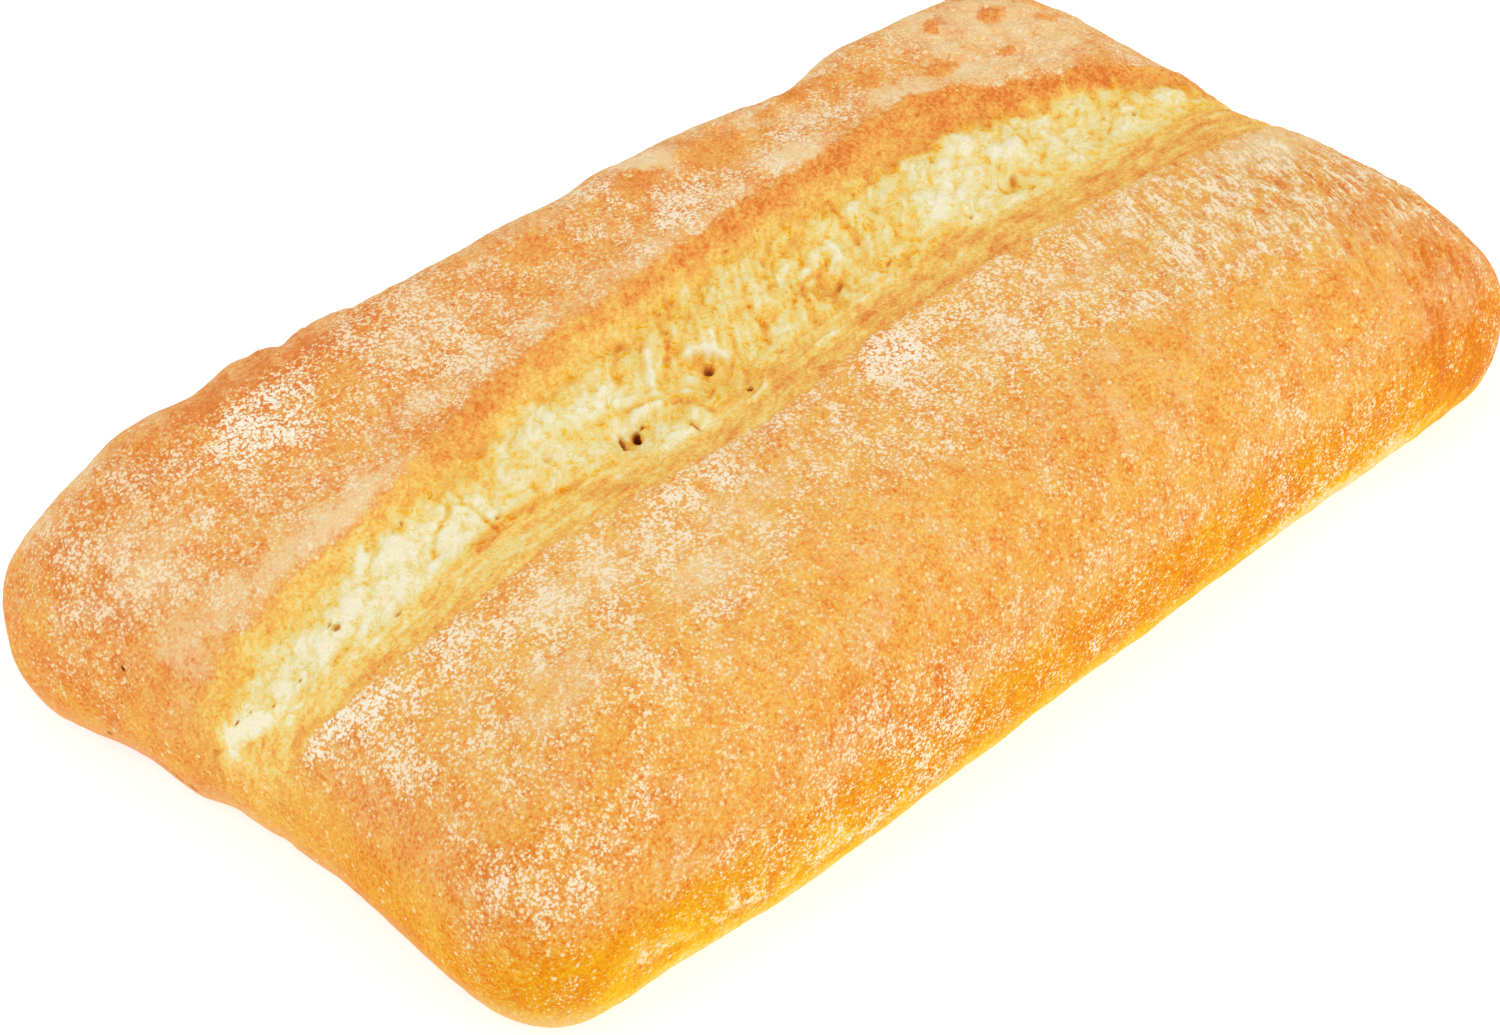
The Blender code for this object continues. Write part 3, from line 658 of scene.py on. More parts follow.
def crumbFields(skin):
    # relief in millimetres, tone and pore darkness of the split, over all points of the skin
    x, y = skin["points"][:, :2].T
    flat = skin["flat"]
    bodyX, bodyY = skin["plan"].T
    wander = 1.1 * skinNoise(flat, 7, seed=1) + 0.6 * skinNoise(flat, 2.4, seed=2)
    warped = flat + 1.1 * np.stack([skinNoise(flat, 5, seed=61), skinNoise(flat, 5, seed=62)], axis=-1)
    inCrumb, inBand, inLip, inside = splitZones(bodyX, bodyY, wander)
    calm = np.clip(patch(x + 0.4 * wander, y, crumb["calm"]), 0, 1)

    def mounds(places, spacing, seed):
        nearest, second, own = cellNoise(places, spacing, seed)
        return np.sqrt(np.clip(second - nearest, 0, 1))

    grain = skinNoise(warped, 1.2, 1.6, 45, 5, 2)
    strands = skinNoise(flat, 1.15, 5.5, 56, 6)
    strandShare = np.exp(-((x - 14) / 26) ** 2) + 0.5 * np.exp(-((x + 14) / 12) ** 2) + 0.3
    texture = {"puffs": 1.5 * (mounds(flat * (1 / 1.5, 1), 6.5, 3) - 0.55),
               "lumps": 0.55 * (mounds(flat + 0.8 * np.stack([wander, -wander], axis=-1), 3.4, 8) - 0.5),
               "bigFolds": foldNoise(warped, 7, 1.7, 35, 63),
               "fineFolds": foldNoise(warped, 2.8, 1.8, 50, 64),
               "strands": strandShare * strands, "grain": grain}
    relief, tone = layered(flat, splitLayers["crumb"])
    # each texture's tone paints shade into the folds
    for name, (height, brown) in tornLook.items():
        relief, tone = relief + height * texture[name], tone + brown * texture[name]
    bandRelief, bandTone = layered(flat, splitLayers["band"])
    lipRelief, lipTone = layered(flat, splitLayers["lip"])
    relief = (inCrumb * (1 - 0.8 * calm) * relief + inBand * bandRelief
              + inLip * (lipRelief + 0.14 * strands))

    tone = tone + lineAt(crumb["toneAlong"], x)
    edging = lineAt(crumb["edging"], x)
    fromCrust = bodyY + 0.5 * wander - splitLine("nearCrust", bodyX)
    bandTone = bandTone + lineAt(crumb["bandAlong"], x) + edging * (1 - ramp(fromCrust, 1, 4))
    edging = lineAt(crumb["farEdging"], bodyX)
    toFlour = bodyY + 0.7 * wander - lineAt(crust["farEdge"], bodyX)
    lipTone = lipTone + lineAt(crumb["lipAlong"], x) + edging * ramp(toFlour, -5.5, -2)
    toBand = 1 - ramp(y + wander - lineAt(crumb["paleFrom"], x), -2, 2)
    fingers = 2.6 * skinNoise(flat, 3, 3, 62, 13, 2)
    toLip = ramp(y + 1.3 * wander + fingers - lineAt(crumb["paleTo"], x), -3, 2.4)
    tone = tone + (bandTone - tone) * toBand
    tone = tone + (lipTone - tone) * toLip + patch(x + wander, y - 0.6 * wander, crumb["browning"])
    threads = skinNoise(warped, 1, 3.4, 50, 70, 2)
    tone = tone + (0.09 + 0.04 * np.exp(-((x - 12) / 34) ** 2)) * threads + 0.05 * grain
    tone = tone + (0.36 - tone) * 0.75 * calm

    relief, tone, pores = drawnFeatures(x, y, wander, grain, relief, tone)
    # small holes in some of the cells, darkened by painted shade
    near, second, own = cellNoise(warped * (1, 0.7) + 5, 2.6, 21)
    near = near * (1 + 0.5 * grain)
    small = (own > 0.8) * (1 - ramp(near, 0.3 * (own - 0.75), 1.5 * (own - 0.7))) * inCrumb
    return relief - 0.3 * small, tone + 0.12 * small, pores, inside, inCrumb


def drawnFeatures(x, y, wander, grain, relief, tone):
    # the pores, creases, ridges, lobes and hollows that are placed one by one
    pores = np.zeros(len(x))
    for along, across, length, width, turn, depth, dark in crumb["pores"]:
        turn = math.radians(turn)
        a = ((x - along) * math.cos(turn) + (y - across) * math.sin(turn)) / length
        b = (-(x - along) * math.sin(turn) + (y - across) * math.cos(turn)) / width
        gap = np.hypot(a, b) * (1 + 0.22 * wander + 0.4 * grain)
        relief = relief - depth * (1 - ramp(gap, 0.45, 1.25))
        # the pore's painted shade, with a browner ring of painted shade round its mouth
        pores = np.maximum(pores, dark * (1 - ramp(gap, 0.35, 1.15)))
        tone = tone + 0.3 * dark * (1 - ramp(gap, 0.8, 2.2)) * (1 - tone)
    # creases are darkened by painted shade
    for line, width, depth, brown in crumb["creases"]:
        gap, share = strokeGap(x + 0.25 * wander, y - 0.25 * wander, line)
        ease = 0.2 + 0.8 * tapered(share, 0.12)
        relief = relief - 0.5 * depth * ease * np.exp(-(gap / width) ** 2)
        tone = tone + 0.75 * brown * ease * np.exp(-(gap / width / 0.9) ** 2) * (1 + 0.6 * grain)
    for line, width, height in crumb["ridges"]:
        gap, share = strokeGap(x + 0.2 * wander, y + 0.2 * wander, line)
        ridge = (0.2 + 0.8 * tapered(share, 0.15)) * np.exp(-(gap / width) ** 2)
        relief, tone = relief + height * ridge, tone - 0.3 * ridge
    lobes = patch(x, y, crumb["lobes"])
    relief, tone = relief + lobes, tone - 0.16 * lobes
    # hollows, darkened by painted shade
    for along, across, reachX, reachY, depth, brown in crumb["hollows"]:
        dish = patch(x + 0.5 * wander, y, ((along, across, reachX, reachY, 1),))
        relief, tone = relief - depth * dish, tone + brown * dish
    return relief, tone, pores


# how much of each pattern and place goes into the crust's relief (in millimetres) and into its look
crustMix = {
    "relief": {"broad": 0.35, "dimples": 0.14, "fine": 0.05, "waves": 0.6, "blisters": 1.1, "spots": 0.3,
               "strip": 0.4},
    "flour": {"wander": 0.12, "fine": 0.08, "waves": 0.22, "strip": 0.22, "spots": -0.7, "farMiddle": 0.2,
              "lowest": -0.18, "nearRim": -0.09, "nearWall": -0.18},
    "veil": {"wander": 0.1, "wrinkle": 0.08, "strip": 0.5, "spots": -0.9},
    # in the tone, the waves give painted shade in the wrinkles' valleys and a painted highlight on their
    # crests
    "tone": {"wander": 0.05, "fine": 0.025, "blotches": 0.07, "waves": -0.2, "spots": 0.1, "strip": -0.3,
             "nearRim": 0.05, "nearWall": -0.02, "lowNearSide": 0.06, "nearFoot": -0.4, "farTip": 0.03},
    "blush": {"wander": 0.15, "farEnd": 0.1, "nearEndFoot": 0.6},
}


def flourStrip(x, y, z, lumps, fine):
    # the pale strip of dry flour along the base of the near side
    atSide = ramp(-y, 56, 64)
    strip = np.zeros(len(x))
    for line in crust["strips"]:
        gap, share = strokeGap(x + 1.2 * fine, z + 0.8 * lumps(4, 23), line)
        gathered = np.clip(0.5 + 1.5 * lumps(3.4, 31), 0, 1)
        strip += atSide * tapered(share, 0.15) * (1 - ramp(gap, 0.6, 3.2)) * gathered
    for along, height, size, amount in crust["stripLumps"]:
        gap = np.hypot((x - along) / size, (z - height) / size / 0.7)
        strip += atSide * amount * np.exp(-gap ** 2)
    return np.clip(strip, 0, 1)


def crustFields(skin):
    # relief in millimetres and all that the crust's material reads, over all points of the skin
    points, flat = skin["points"], skin["flat"]
    x, y, z = points.T
    bodyX, bodyY = skin["plan"].T
    farLobe = ramp(bodyY, splitLine("nearCrumb", bodyX), splitLine("farCrust", bodyX))
    nearLobe = 1 - farLobe

    def lumps(spacing, seed=0):
        return lumpNoise(points + seed, spacing)

    wander, fine = lumps(9), lumps(3, 40)

    def spread(name):
        return patch(x + 2.2 * wander, y + 2.2 * fine, crust[name])

    wrinkle = np.clip(spread("wrinkles"), 0, 1)
    near, second, own = cellNoise(flat * (1, 1.2), 7, 33)
    spots = patch(x + 1.2 * fine, y + 1.2 * lumps(2.4, 11), crust["spots"])
    parts = {
        "wander": wander, "fine": fine, "broad": lumps(22, 90), "dimples": lumps(5.5, 60),
        "blotches": lumps(4, 77), "wrinkle": wrinkle, "waves": wrinkle * skinNoise(flat, 1.3, 5, 77, 30, 2),
        "blisters": np.clip(spread("blisters"), 0, 1) * (own > 0.35) * (1 - ramp(near, 0.1, 0.62)),
        "spots": np.clip(spots, 0, 1), "strip": flourStrip(x, y, z, lumps, fine),
        "farMiddle": farLobe * np.exp(-((x - 14) / 46) ** 2) * lumps(4.5, 52),
        "farEnd": ramp(x, 100, 130), "farTip": ramp(x, 112, 130), "lowest": 1 - ramp(z, 3, 14),
        "nearRim": nearLobe * ramp(-y, 50, 62),
        "nearFoot": nearLobe * ramp(-y, 40, 60) * (1 - ramp(z, 4, 13)),
        "lowNearSide": nearLobe * ramp(-y, 40, 62) * (1 - ramp(z, 14, 30)) * ramp(x, -60, 20),
        "nearWall": ramp(-x, 112, 128) * (1 - ramp(z, 24, 38)),
        "nearEndFoot": ramp(-x, 100, 124) * (1 - ramp(z, 5, 13)),
    }

    def mixed(name):
        return sum(gain * parts[part] for part, gain in crustMix[name].items())

    def byLobe(name):
        return crust[name][0] * nearLobe + crust[name][1] * farLobe

    relief = mixed("relief") - 0.25
    flour = mixed("flour") + byLobe("flourBase") + spread("flour")
    veil = mixed("veil") + byLobe("veilBase") * ramp(z, 14, 34) + spread("veil")
    tone = mixed("tone") + byLobe("toneBase") + spread("bake")
    blush = mixed("blush") + byLobe("blushBase") * (1 - 0.7 * parts["nearWall"])
    # the low crust is more golden, most of all on the near side
    gold = (1 - ramp(z, 12, 32)) * (0.35 + 0.65 * ramp(bodyY, 20, -40)) + 0.12 * nearLobe * ramp(-y, 30, 60)
    gold = gold * (1 - 0.6 * parts["nearWall"])

    for line, width, depth in crust["furrows"]:
        gap, share = strokeGap(x + 0.5 * wander, y + 0.5 * wander, line)
        bank = 0.8 * np.exp(-((gap - 1.6 * width) / width) ** 2)
        relief += tapered(share, 0.2) * depth * (bank - np.exp(-(gap / width) ** 2))

    # the slit and the cracks of the near end, darkened inside by painted shade
    atEnd = ramp(-x, 116, 124)
    line, width, depth = crust["slit"]
    gap, share = strokeGap(y + 0.4 * fine, z, line)
    cut = atEnd * (1 - ramp(gap, 0.4 * width, 2.2 * width)) * (1 - ramp(share, 0.6, 1))
    relief -= depth * cut
    tone += 0.1 * cut - 0.12 * atEnd * np.exp(-((gap - 3 * width) / width) ** 2) * (1 - share)
    pores = np.zeros(len(x))
    for across, height, length, tall in crust["baseCracks"]:
        gap = np.hypot((y - across) / length, (z - height) / tall) * (1 + 0.5 * fine)
        crack = atEnd * (1 - ramp(gap, 0.4, 1.3))
        relief -= 0.6 * crack
        pores = np.maximum(pores, 0.5 * crack)
    across, height, size = crust["speck"]
    pores = np.maximum(pores, atEnd * (1 - ramp(np.hypot(y - across, z - height) / size, 0.6, 1.2)))
    return relief, {"tone": tone, "pores": pores, "flour": flour, "veil": veil, "blush": blush,
                    "wrinkle": wrinkle, "gold": gold}


def softened(values, rows, columns):
    # running mean over the grid of the top, taken twice
    for _ in range(2):
        for axis, reach in ((0, rows), (1, columns)):
            padded = np.concatenate([np.repeat(values.take([0], axis), reach + 1, axis), values,
                                     np.repeat(values.take([-1], axis), reach, axis)], axis)
            total = np.cumsum(padded, axis)
            size = values.shape[axis]
            upper = np.take(total, np.arange(2 * reach + 1, 2 * reach + 1 + size), axis)
            lower = np.take(total, np.arange(size), axis)
            values = (upper - lower) / (2 * reach + 1)
    return values


def dressSkin():
    skin = loafSkin()
    points = skin["points"]
    topCount = skin["topShape"][0] * skin["topShape"][1]
    sideEnd = topCount + skin["rimCount"] * loafGrid["sideRings"]
    crumbRelief, crumbTone, crumbPores, inside, inCrumb = crumbFields(skin)
    crustRelief, fields = crustFields(skin)

    # the flour's edge along the split is ragged, and the crust stands a little proud of the golden skin
    bodyX, bodyY = skin["plan"].T
    ragged = 0.9 * skinNoise(skin["flat"], 4, seed=51) + 0.7 * skinNoise(skin["flat"], 1.6, seed=52)
    nearGap = splitLine("nearCrust", bodyX) - bodyY + ragged
    farGap = bodyY - lineAt(crust["farEdge"], bodyX) + 1.2 * ragged
    onCrust = np.maximum(ramp(nearGap, -0.4, 1), ramp(farGap, -0.4, 1.6))
    endWall = ramp(-bodyX, 118, 126) * (1 - ramp(points[:, 2] + 1.5 * ragged, 15, 24))
    onCrust = np.maximum(onCrust, endWall)
    offCrust = 1 - onCrust
    shoulder = ramp(nearGap, -0.2, 0.7) * (1 - ramp(nearGap, 2, 12))
    relief = crumbRelief * offCrust + crustRelief * onCrust + 0.4 * shoulder
    moved = points + pointNormals(points, skin["faces"]) * (relief * ramp(points[:, 2], 0, 2.5))[:, None]

    # the split's tone doesn't run down the walls; painted shade darkens the hollows and what stands proud
    # is painted paler
    tone = crumbTone * offCrust + fields["tone"] * onCrust
    tone = tone + (np.minimum(fields["tone"], 0.68) - tone) * (1 - ramp(points[:, 2], 9, 17)) * offCrust
    top = relief[:topCount].reshape(skin["topShape"])
    cavityShade = np.concatenate([(softened(top, 5, 6) - top).reshape(-1), np.zeros(len(points) - topCount)])
    tone = tone + np.clip(0.22 * cavityShade * offCrust * inside + 0.05 * cavityShade * onCrust, -0.15, 0.4)

    # the underside is flat, with shallow dimples
    dimples = 0.5 * np.clip(lumpNoise(points[sideEnd:] + 7, 14, 3), 0, 1)
    fromEdge = np.repeat(np.arange(1, loafGrid["baseRings"] + 1), skin["rimCount"])
    moved[sideEnd:, 2] = dimples * np.clip(fromEdge / 3, 0, 1)

    for name in ("flour", "veil", "blush", "gold"):
        skin[name] = np.clip(fields[name], 0, 1) * onCrust
    skin.update(points=moved, tone=np.clip(tone, 0, 1), wrinkle=fields["wrinkle"] * onCrust,
                pores=np.clip(np.maximum(crumbPores * offCrust, fields["pores"]), 0, 1),
                crumbShare=inCrumb * inside * offCrust)
    return skin


def fitToFrame(skin):
    # the same box as the solid: middle of the plan and height of the base
    points = skin["points"]
    low, high = (np.array(corner) / mm for corner in cadBox)
    middle = (points.min(axis=0) + points.max(axis=0)) / 2
    points[:, :2] += (low + high)[:2] / 2 - middle[:2]
    points[:, 2] -= points[:, 2].min()
    return high - low, points.max(axis=0) - points.min(axis=0)


skin = dressSkin()
print("skin built, CAD and dressed size in mm:", *(np.round(size, 1) for size in fitToFrame(skin)))


# what each point of the skin tells the materials, and its place on the skin laid flat
skinFields = ("tone", "flour", "veil", "blush", "pores", "crumbShare", "wrinkle", "gold")
flatFields = ("overAlong", "overAcross")


def flatMap(skin, faces, under):
    # the skin laid flat in two strips, one above the other, filling a square
    flat = skin["points"][faces][..., :2] if under else skin["flat"][faces]
    second = flat[..., 0].mean(axis=1) > np.median(flat[..., 0])
    strips = [(flat[part].min(axis=(0, 1)), flat[part].max(axis=(0, 1))) for part in (~second, second)]
    gap = 2                              # millimetres between the strips
    size = max(max(high[0] - low[0] for low, high in strips) + 2 * gap,
               sum(high[1] - low[1] for low, high in strips) + 3 * gap)
    placed = np.empty_like(flat)
    placed[~second] = flat[~second] - strips[0][0] + gap
    placed[second] = flat[second] - strips[1][0] + (gap, 2 * gap + strips[0][1][1] - strips[0][0][1])
    return placed / size


def addPiece(name, lanes, material):
    chosen = np.isin(skin["lanes"], lanes)
    faces = skin["faces"][chosen]
    used, local = np.unique(faces, return_inverse=True)
    local = local.reshape(faces.shape)
    mesh = bpy.data.meshes.new(name)
    mesh.vertices.add(len(used))
    mesh.vertices.foreach_set("co", (skin["points"][used] * mm).astype(np.float32).ravel())
    corners = local.ravel()
    starts = np.arange(len(faces)) * 4
    uv = flatMap(skin, faces, -1 in lanes).reshape(-1, 2)
    if -1 in lanes:
        # one many-sided face closes the middle of the base
        fan = np.searchsorted(used, skin["middleFan"])[::-1]
        starts = np.append(starts, len(corners))
        corners = np.concatenate([corners, fan])
        place = {corner: k for k, corner in enumerate(local.ravel())}
        uv = np.concatenate([uv, uv[[place[corner] for corner in fan]]])
    mesh.loops.add(len(corners))
    mesh.loops.foreach_set("vertex_index", corners.astype(np.int32))
    mesh.polygons.add(len(starts))
    mesh.polygons.foreach_set("loop_start", starts.astype(np.int32))
    mesh.update(calc_edges=True)
    mesh.uv_layers.new(name="OFBake").data.foreach_set("uv", uv.astype(np.float32).ravel())
    fields = {name: skin[name] for name in skinFields}
    fields.update(zip(flatFields, (skin["flat"] * mm).T))
    for field, values in fields.items():
        data = mesh.attributes.new(field, "FLOAT", "POINT").data
        data.foreach_set("value", values[used].astype(np.float32))
    mesh.shade_smooth()
    mesh.normals_split_custom_set_from_vertices(skin["normals"][used].tolist())
    mesh.materials.append(material)
    piece = bpy.data.objects.new(name, mesh)
    bpy.context.scene.collection.objects.link(piece)
    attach(piece, "root")
    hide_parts("loaf")
    print(name, "has", len(faces) * 2, "triangles")
    return piece


def addNode(tree, kind, settings=None, stops=None, **inputs):
    node = tree.nodes.new(kind)
    for name, value in (settings or {}).items():
        setattr(node, name, value)
    for place, (share, colour) in enumerate(stops or ()):
        steps = node.color_ramp.elements
        step = steps[place] if place < 2 else steps.new(share)
        step.position, step.color = share, hexColour(colour)
    for name, value in inputs.items():
        # i0, i1 and so on are sockets by number, the others by name
        numbered = name[0] == "i" and name[1:].isdigit()
        socket = node.inputs[int(name[1:]) if numbered else name.replace("_", " ")]
        if isinstance(value, bpy.types.NodeSocket):
            tree.links.new(value, socket)
        else:
            socket.default_value = value
    return node


# Wheat dough baked on a floured peel. Steam left the skin thin and matt, from cream where it tore late
# through straw yellow to a golden orange crust, so the eye reads one dough at every stage of browning.
bakedTones = ((0.0, "#FAF2D4"), (0.14, "#F5E9BA"), (0.30, "#F3DD94"), (0.45, "#F7D172"), (0.58, "#F6C05C"),
              (0.68, "#F1B456"), (0.80, "#EFA34D"), (0.90, "#EC9241"), (1.0, "#E07C31"))

crustFinish = {
    "blush": "#F3B580",            # pinkish tan where the flour's veil lies on browned crust
    "veil": "#F4C889",             # a thin film of flour that lets the crust through
    "veilThick": "#F6DAA6",        # the same film where it hides the crust
    "fleck": "#FCE1AD",            # flour in flecks
    "fleckLow": "#FBDF98",         # flecks of the lower crust, which the oven browned more
    "fleckThick": "#FFFAE9",       # flour where it lies thick
    "dot": "#FBE0A8",              # single grains that the oven browned a little
    # painted shade of the pores and cracks, from the rim inwards; the near end's dark speck takes these too
    "poreRim": "#D9852F", "pore": "#8A4312", "poreDeep": "#2A0F04",
    "roughness": 0.72, "flourRoughness": 0.95, "ior": 1.45, "specular": 0.15,
}

# real sizes in millimetres of what the patterns show
patternSize = {
    "fleck": 0.64,       # flour clings in flecks of about half this
    "streak": 2.2,       # drawn out to this length where the skin is wrinkled
    "dot": 2.0,          # from one coarse grain to the next
    "clump": 2.1,        # and gathers in clumps
    "drift": 6.5,        # and drifts
    "mottle": 1.1,       # blotches of browning
    "grain": 0.6,        # pitted skin; finer than the render shows, drawn this coarse on purpose
    # yellow painted shade in the creases between the crumb's cells
    "strand": 0.7,       # stretched gluten in the crumb
    "creaseShade": 2.6,         # yellow seams between the crumb's cells
}

# how far each pattern pulls the browning, the cover of flecks and the film of flour up or down
patternPull = {
    "browning": {"mottle": 0.45, "drift": -0.3, "grain": 0.65, "fleck": -0.75},
    "cover": {"clump": 0.45, "drift": 0.4},
    "film": {"clump": 0.7, "drift": 0.6, "fleck": 1},
}

# relief finer than the mesh, in millimetres
fineRelief = {"fleck": 0.03, "grain": 0.1, "mottle": 0.1, "streak": 0.3, "strand": 0.3}

# flecks show where their pattern is above a level, which falls as the flour gets thicker
dusting = {
    "levelBare": 0.7, "levelFall": -0.4, "levelLowest": 0.44,
    "fleckEdge": (-0.016, 0.018), "thickEdge": (0.01, 0.07),     # how they fade in, round that level
    "fleckHides": 0.94, "filmHides": 0.85, "dotHides": 0.85, "largestDot": 0.3, "dotEdge": 0.06,
}


def bakedMaterial(name, crumbBump, softness):
    material = bpy.data.materials.new(name)
    material.use_nodes = True
    tree = material.node_tree
    tree.nodes.clear()
    place = addNode(tree, "ShaderNodeTexCoord").outputs["Object"]
    tone, flour, veil, blush, pores, crumbShare, wrinkle, gold, overAlong, overAcross = (
        addNode(tree, "ShaderNodeAttribute", {"attribute_name": field}).outputs["Fac"]
        for field in skinFields + flatFields)

    def calc(operation, *values):
        sockets = {f"i{k}": value for k, value in enumerate(values)}
        return addNode(tree, "ShaderNodeMath", {"operation": operation}, **sockets).outputs[0]

    def plus(first, *others):
        for other in others:
            first = calc("ADD", first, other)
        return first

    def times(first, *others):
        for other in others:
            first = calc("MULTIPLY", first, other)
        return first

    def oneAnd(gain, value):
        return calc("MULTIPLY_ADD", value, gain, 1)

    def between(value, low, high, toLow=0, toHigh=1):
        return addNode(tree, "ShaderNodeMapRange", {"interpolation_type": "SMOOTHSTEP"}, Value=value,
                       From_Min=low, From_Max=high, To_Min=toLow, To_Max=toHigh).outputs["Result"]

    def mix(share, first, second):
        values = [hexColour(colour) if isinstance(colour, str) else colour for colour in (first, second)]
        return addNode(tree, "ShaderNodeMix", {"data_type": "RGBA"}, i0=share, i6=values[0],
                       i7=values[1]).outputs[2]

    def drawnOut(share):
        # places on the skin laid flat, so that a pattern is drawn out across the loaf, a little aslant
        return addNode(tree, "ShaderNodeCombineXYZ", X=calc("MULTIPLY_ADD", overAcross, -0.2, overAlong),
                       Y=times(overAcross, share)).outputs["Vector"]

    def noise(size, detail, roughness, vector=place, distortion=0):
        return addNode(tree, "ShaderNodeTexNoise", Vector=vector, Scale=1 / (patternSize[size] * mm),
                       Detail=detail, Roughness=roughness, Distortion=distortion).outputs["Fac"]

    def cells(size):
        node = addNode(tree, "ShaderNodeTexVoronoi", Vector=place, Scale=1 / (patternSize[size] * mm))
        number = addNode(tree, "ShaderNodeSeparateColor", Color=node.outputs["Color"]).outputs[0]
        return node.outputs["Distance"], number

    def centred(value, gain):
        return calc("MULTIPLY_ADD", value, gain, -gain / 2)

    pattern = {"mottle": noise("mottle", 3, 0.65), "drift": noise("drift", 2, 0.5, drawnOut(0.7)),
               "clump": noise("clump", 2, 0.55, drawnOut(0.6), 0.3), "grain": noise("grain", 2, 0.6)}
    # a fleck is part noise and part round cell, and is streaked where the skin is wrinkled
    gap, number = cells("fleck")
    cell = calc("MULTIPLY_ADD", gap, -0.75, calc("MULTIPLY_ADD", number, 0.35, 0.64))
    fleck = times(noise("fleck", 3, 0.7, distortion=0.5), 0.6)
    fleck = plus(fleck, times(cell, 0.3), centred(pattern["mottle"], -0.25), 0.05)
    streak = noise("fleck", 3, 0.7, drawnOut(patternSize["fleck"] / patternSize["streak"]), 0.4)
    fleck = plus(fleck, times(calc("SUBTRACT", streak, fleck), wrinkle, 0.6))
    pattern["fleck"] = fleck

    def pull(kind):
        return plus(*(centred(pattern[named], gain) for named, gain in patternPull[kind].items()))

    # browning, with blotches that are fainter in the crumb, and yellow painted shade in the creases between
    # its cells
    creaseShade = calc("ABSOLUTE", plus(noise("creaseShade", 2, 0.55, distortion=1), -0.5))
    creaseShade = times(between(creaseShade, 0.05, 0), crumbShare, between(pattern["clump"], 0.35, 0.6, 0.25, 1))
    blotch = plus(times(pull("browning"), oneAnd(-0.65, crumbShare)), times(creaseShade, 0.2))
    browned = addNode(tree, "ShaderNodeValToRGB", stops=bakedTones, Fac=plus(tone, blotch)).outputs["Color"]
    richer = plus(oneAnd(0.2, gold), times(creaseShade, 0.14))
    browned = addNode(tree, "ShaderNodeHueSaturation", Color=browned, Saturation=richer).outputs["Color"]
    skinTone = mix(times(blush, 0.75), browned, crustFinish["blush"])

    # flour in flecks, where their pattern is above a level set by how much flour there is
    cover = plus(flour, pull("cover"))
    level = calc("MAXIMUM", calc("MULTIPLY_ADD", cover, dusting["levelFall"], dusting["levelBare"]),
                 dusting["levelLowest"])
    flecks, caps = (between(fleck, plus(level, low), plus(level, high))
                    for low, high in (dusting["fleckEdge"], dusting["thickEdge"]))
    flecks = times(flecks, between(flour, 0.02, 0.16))
    caps = times(caps, between(cover, 0.25, 0.75))
    powder = mix(gold, crustFinish["fleck"], crustFinish["fleckLow"])

    # under the flecks the flour lies as a smooth film in blotches
    film = times(between(plus(veil, pull("film")), 0.12, 0.75),
                 calc("MINIMUM", times(veil, 6), dusting["filmHides"]), oneAnd(-0.5, gold))
    thickFilm = mix(gold, crustFinish["veilThick"], crustFinish["fleckLow"])
    filmed = mix(film, skinTone, mix(between(veil, 0.3, 0.8), crustFinish["veil"], thickFilm))
    shown = times(flecks, calc("MULTIPLY_ADD", film, -0.5, dusting["fleckHides"]))
    dusted = mix(shown, filmed, mix(caps, powder, crustFinish["fleckThick"]))

    # single grains
    gap, number = cells("dot")
    size = times(number, number, dusting["largestDot"])
    dots = times(between(gap, size, plus(size, -dusting["dotEdge"])), between(flour, 0, 0.12))
    colour = mix(times(dots, dusting["dotHides"]), dusted, crustFinish["dot"])

    # pores, painted shade that is orange at the rim, then brown and nearly black inside
    for shade, start, full in (("poreRim", 0.04, 0.3), ("pore", 0.25, 0.6), ("poreDeep", 0.6, 0.95)):
        colour = mix(between(pores, start, full), colour, crustFinish[shade])

    reliefs = {"fleck": flecks, "grain": pattern["grain"], "mottle": pattern["mottle"],
               "streak": times(streak, wrinkle)}
    if crumbBump:
        reliefs["strand"] = times(noise("strand", 3, 0.6), crumbShare)
    height = plus(*(times(relief, fineRelief[named] * mm) for named, relief in reliefs.items()))
    bump = addNode(tree, "ShaderNodeBump", Strength=1, Distance=1, Height=height).outputs["Normal"]
    roughness = between(flecks, 0, 1, crustFinish["roughness"], crustFinish["flourRoughness"])
    shader = addNode(tree, "ShaderNodeBsdfPrincipled", Base_Color=colour, Roughness=roughness, Metallic=0,
                     IOR=crustFinish["ior"], Specular_IOR_Level=crustFinish["specular"], Normal=bump)
    if softness:
        # light goes about a millimetre into the open crumb
        for named, value in (("Weight", softness), ("Radius", (1.0, 0.6, 0.3)), ("Scale", 1.2 * mm)):
            shader.inputs["Subsurface " + named].default_value = value
    tree.links.new(shader.outputs["BSDF"], addNode(tree, "ShaderNodeOutputMaterial").inputs["Surface"])
    return material


flouredCrust = bakedMaterial("flouredWheatCrust", False, 0)
tornCrumb = bakedMaterial("tornWheatCrumb", True, 0.12)
flouredBase = bakedMaterial("flouredBakedBase", False, 0)
print("materials made")

skin["normals"] = pointNormals(skin["points"], skin["faces"])
addPiece("nearCrust", [0], flouredCrust)
addPiece("farCrust", [4], flouredCrust)
addPiece("tornCrumb", [1, 2, 3], tornCrumb)
addPiece("underside", [-1], flouredBase)


studio = {
    "floor": "#BFC0C2", "glow": "#FFFFFF", "floorGlow": 0.62, "sky": "#FFFFFF", "skyStrength": 0.74,
    "floorReach": 4, "floorHeight": -0.00005,        # metres, a hair under the loaf
    # place in metres, size in metres, power in watts
    "key": ((-0.75, 0.25, 1.15), 0.9, 3.6), "fill": ((0.6, -0.9, 0.7), 1.2, 4.2),
}

# the camera's turn round the loaf, height above the horizon, roll, distance, aim and lens, matched to
# the photograph; degrees and millimetres
lens = {"azimuth": -43.51, "elevation": 47.66, "roll": 0.5, "distance": 706.95,
        "aim": (-18.58, -13.44, 22), "focal": 90.21}


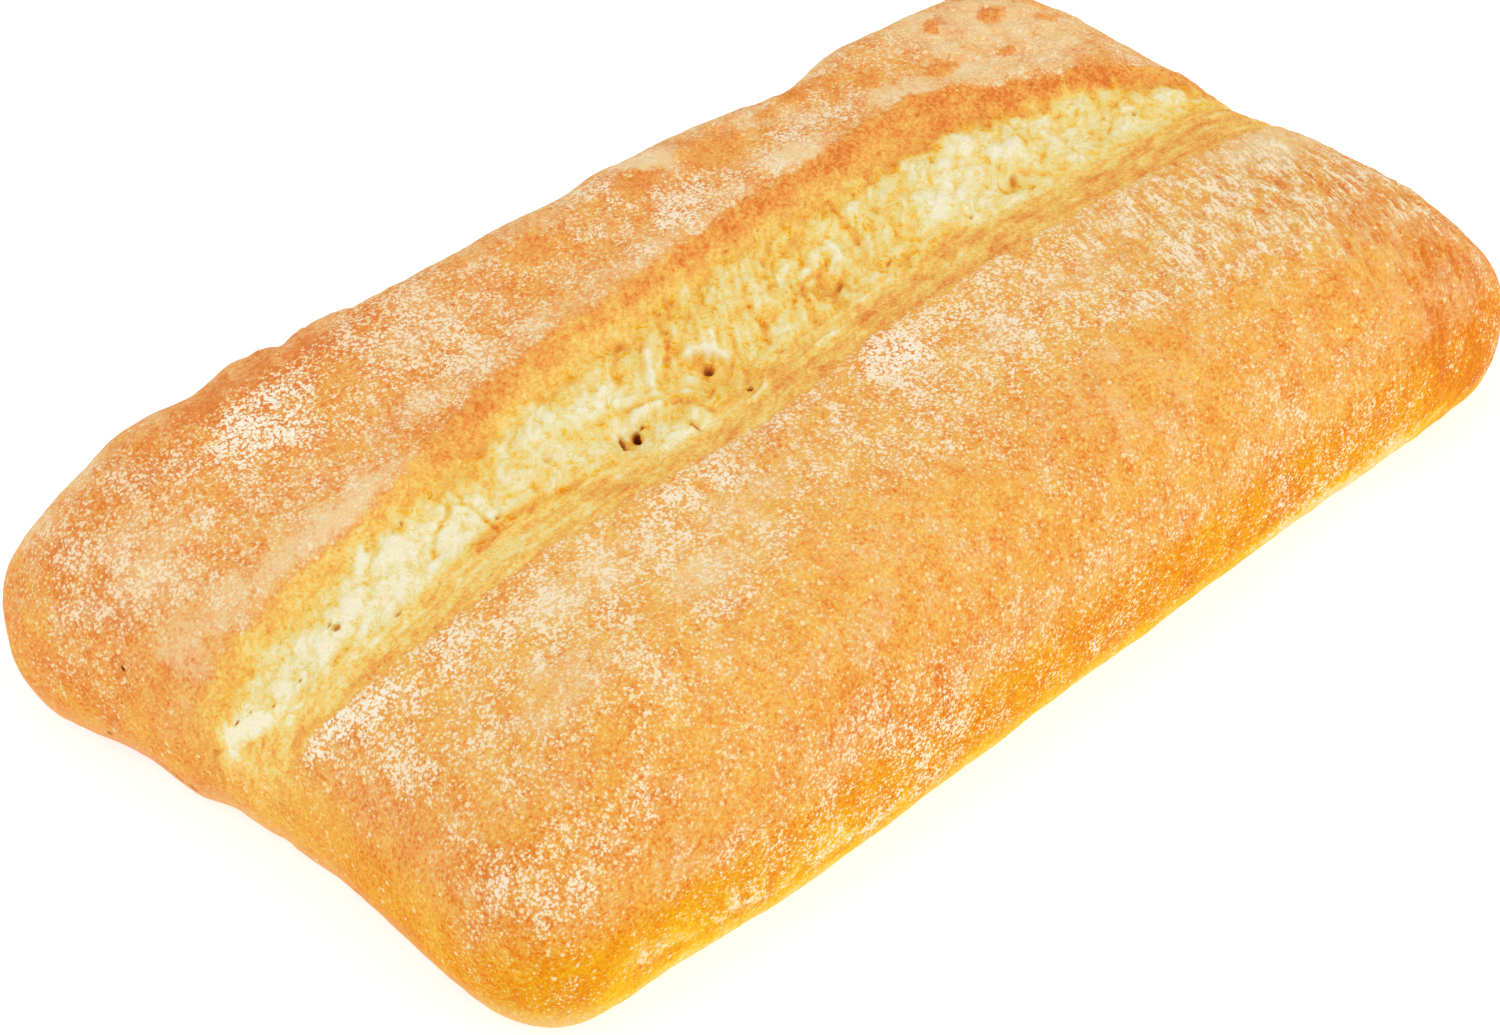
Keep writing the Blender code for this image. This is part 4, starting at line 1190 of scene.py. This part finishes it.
def addStudio():
    reach, low = studio["floorReach"], studio["floorHeight"]
    mesh = bpy.data.meshes.new("floor")
    mesh.from_pydata([(-reach, -reach, low), (reach, -reach, low), (reach, reach, low),
                      (-reach, reach, low)], [], [(0, 1, 2, 3)])
    paper = bpy.data.materials.new("mattBackdropPaper")
    paper.use_nodes = True
    shader = paper.node_tree.nodes["Principled BSDF"]
    # lit a little from below, as on a light table
    for socket, value in (("Base Color", hexColour(studio["floor"])), ("Roughness", 0.95),
                          ("Specular IOR Level", 0.1), ("Emission Color", hexColour(studio["glow"])),
                          ("Emission Strength", studio["floorGlow"])):
        shader.inputs[socket].default_value = value
    mesh.materials.append(paper)
    floor = bpy.data.objects.new("floor", mesh)
    bpy.context.scene.collection.objects.link(floor)

    world = bpy.data.worlds.new("softRoom")
    world.use_nodes = True
    background = world.node_tree.nodes["Background"].inputs
    background["Color"].default_value = hexColour(studio["sky"])
    background["Strength"].default_value = studio["skyStrength"]
    bpy.context.scene.world = world
    for name in ("key", "fill"):
        spot, size, power = studio[name]
        light = bpy.data.lights.new(name, "AREA")
        light.shape, light.size, light.energy = "DISK", size, power
        lamp = bpy.data.objects.new(name, light)
        lamp.location = spot
        lamp.rotation_euler = (-lamp.location).to_track_quat("-Z", "Y").to_euler()
        bpy.context.scene.collection.objects.link(lamp)
    bpy.context.scene.view_settings.view_transform = "Standard"


def addCamera():
    turn, rise, roll = (math.radians(lens[part]) for part in ("azimuth", "elevation", "roll"))
    camera = bpy.data.objects.new("camera", bpy.data.cameras.new("camera"))
    camera.data.lens, camera.data.sensor_width = lens["focal"], 36
    camera.data.clip_start, camera.data.clip_end = 0.01, 20
    facing = Euler((math.pi / 2 - rise, 0, turn)).to_matrix().to_4x4() @ Matrix.Rotation(roll, 4, "Z")
    back = Matrix.Translation((0, 0, lens["distance"] * mm))
    camera.matrix_world = Matrix.Translation(Vector(lens["aim"]) * mm) @ facing @ back
    bpy.context.scene.collection.objects.link(camera)
    bpy.context.scene.camera = camera


addStudio()
addCamera()
print("studio and camera placed")
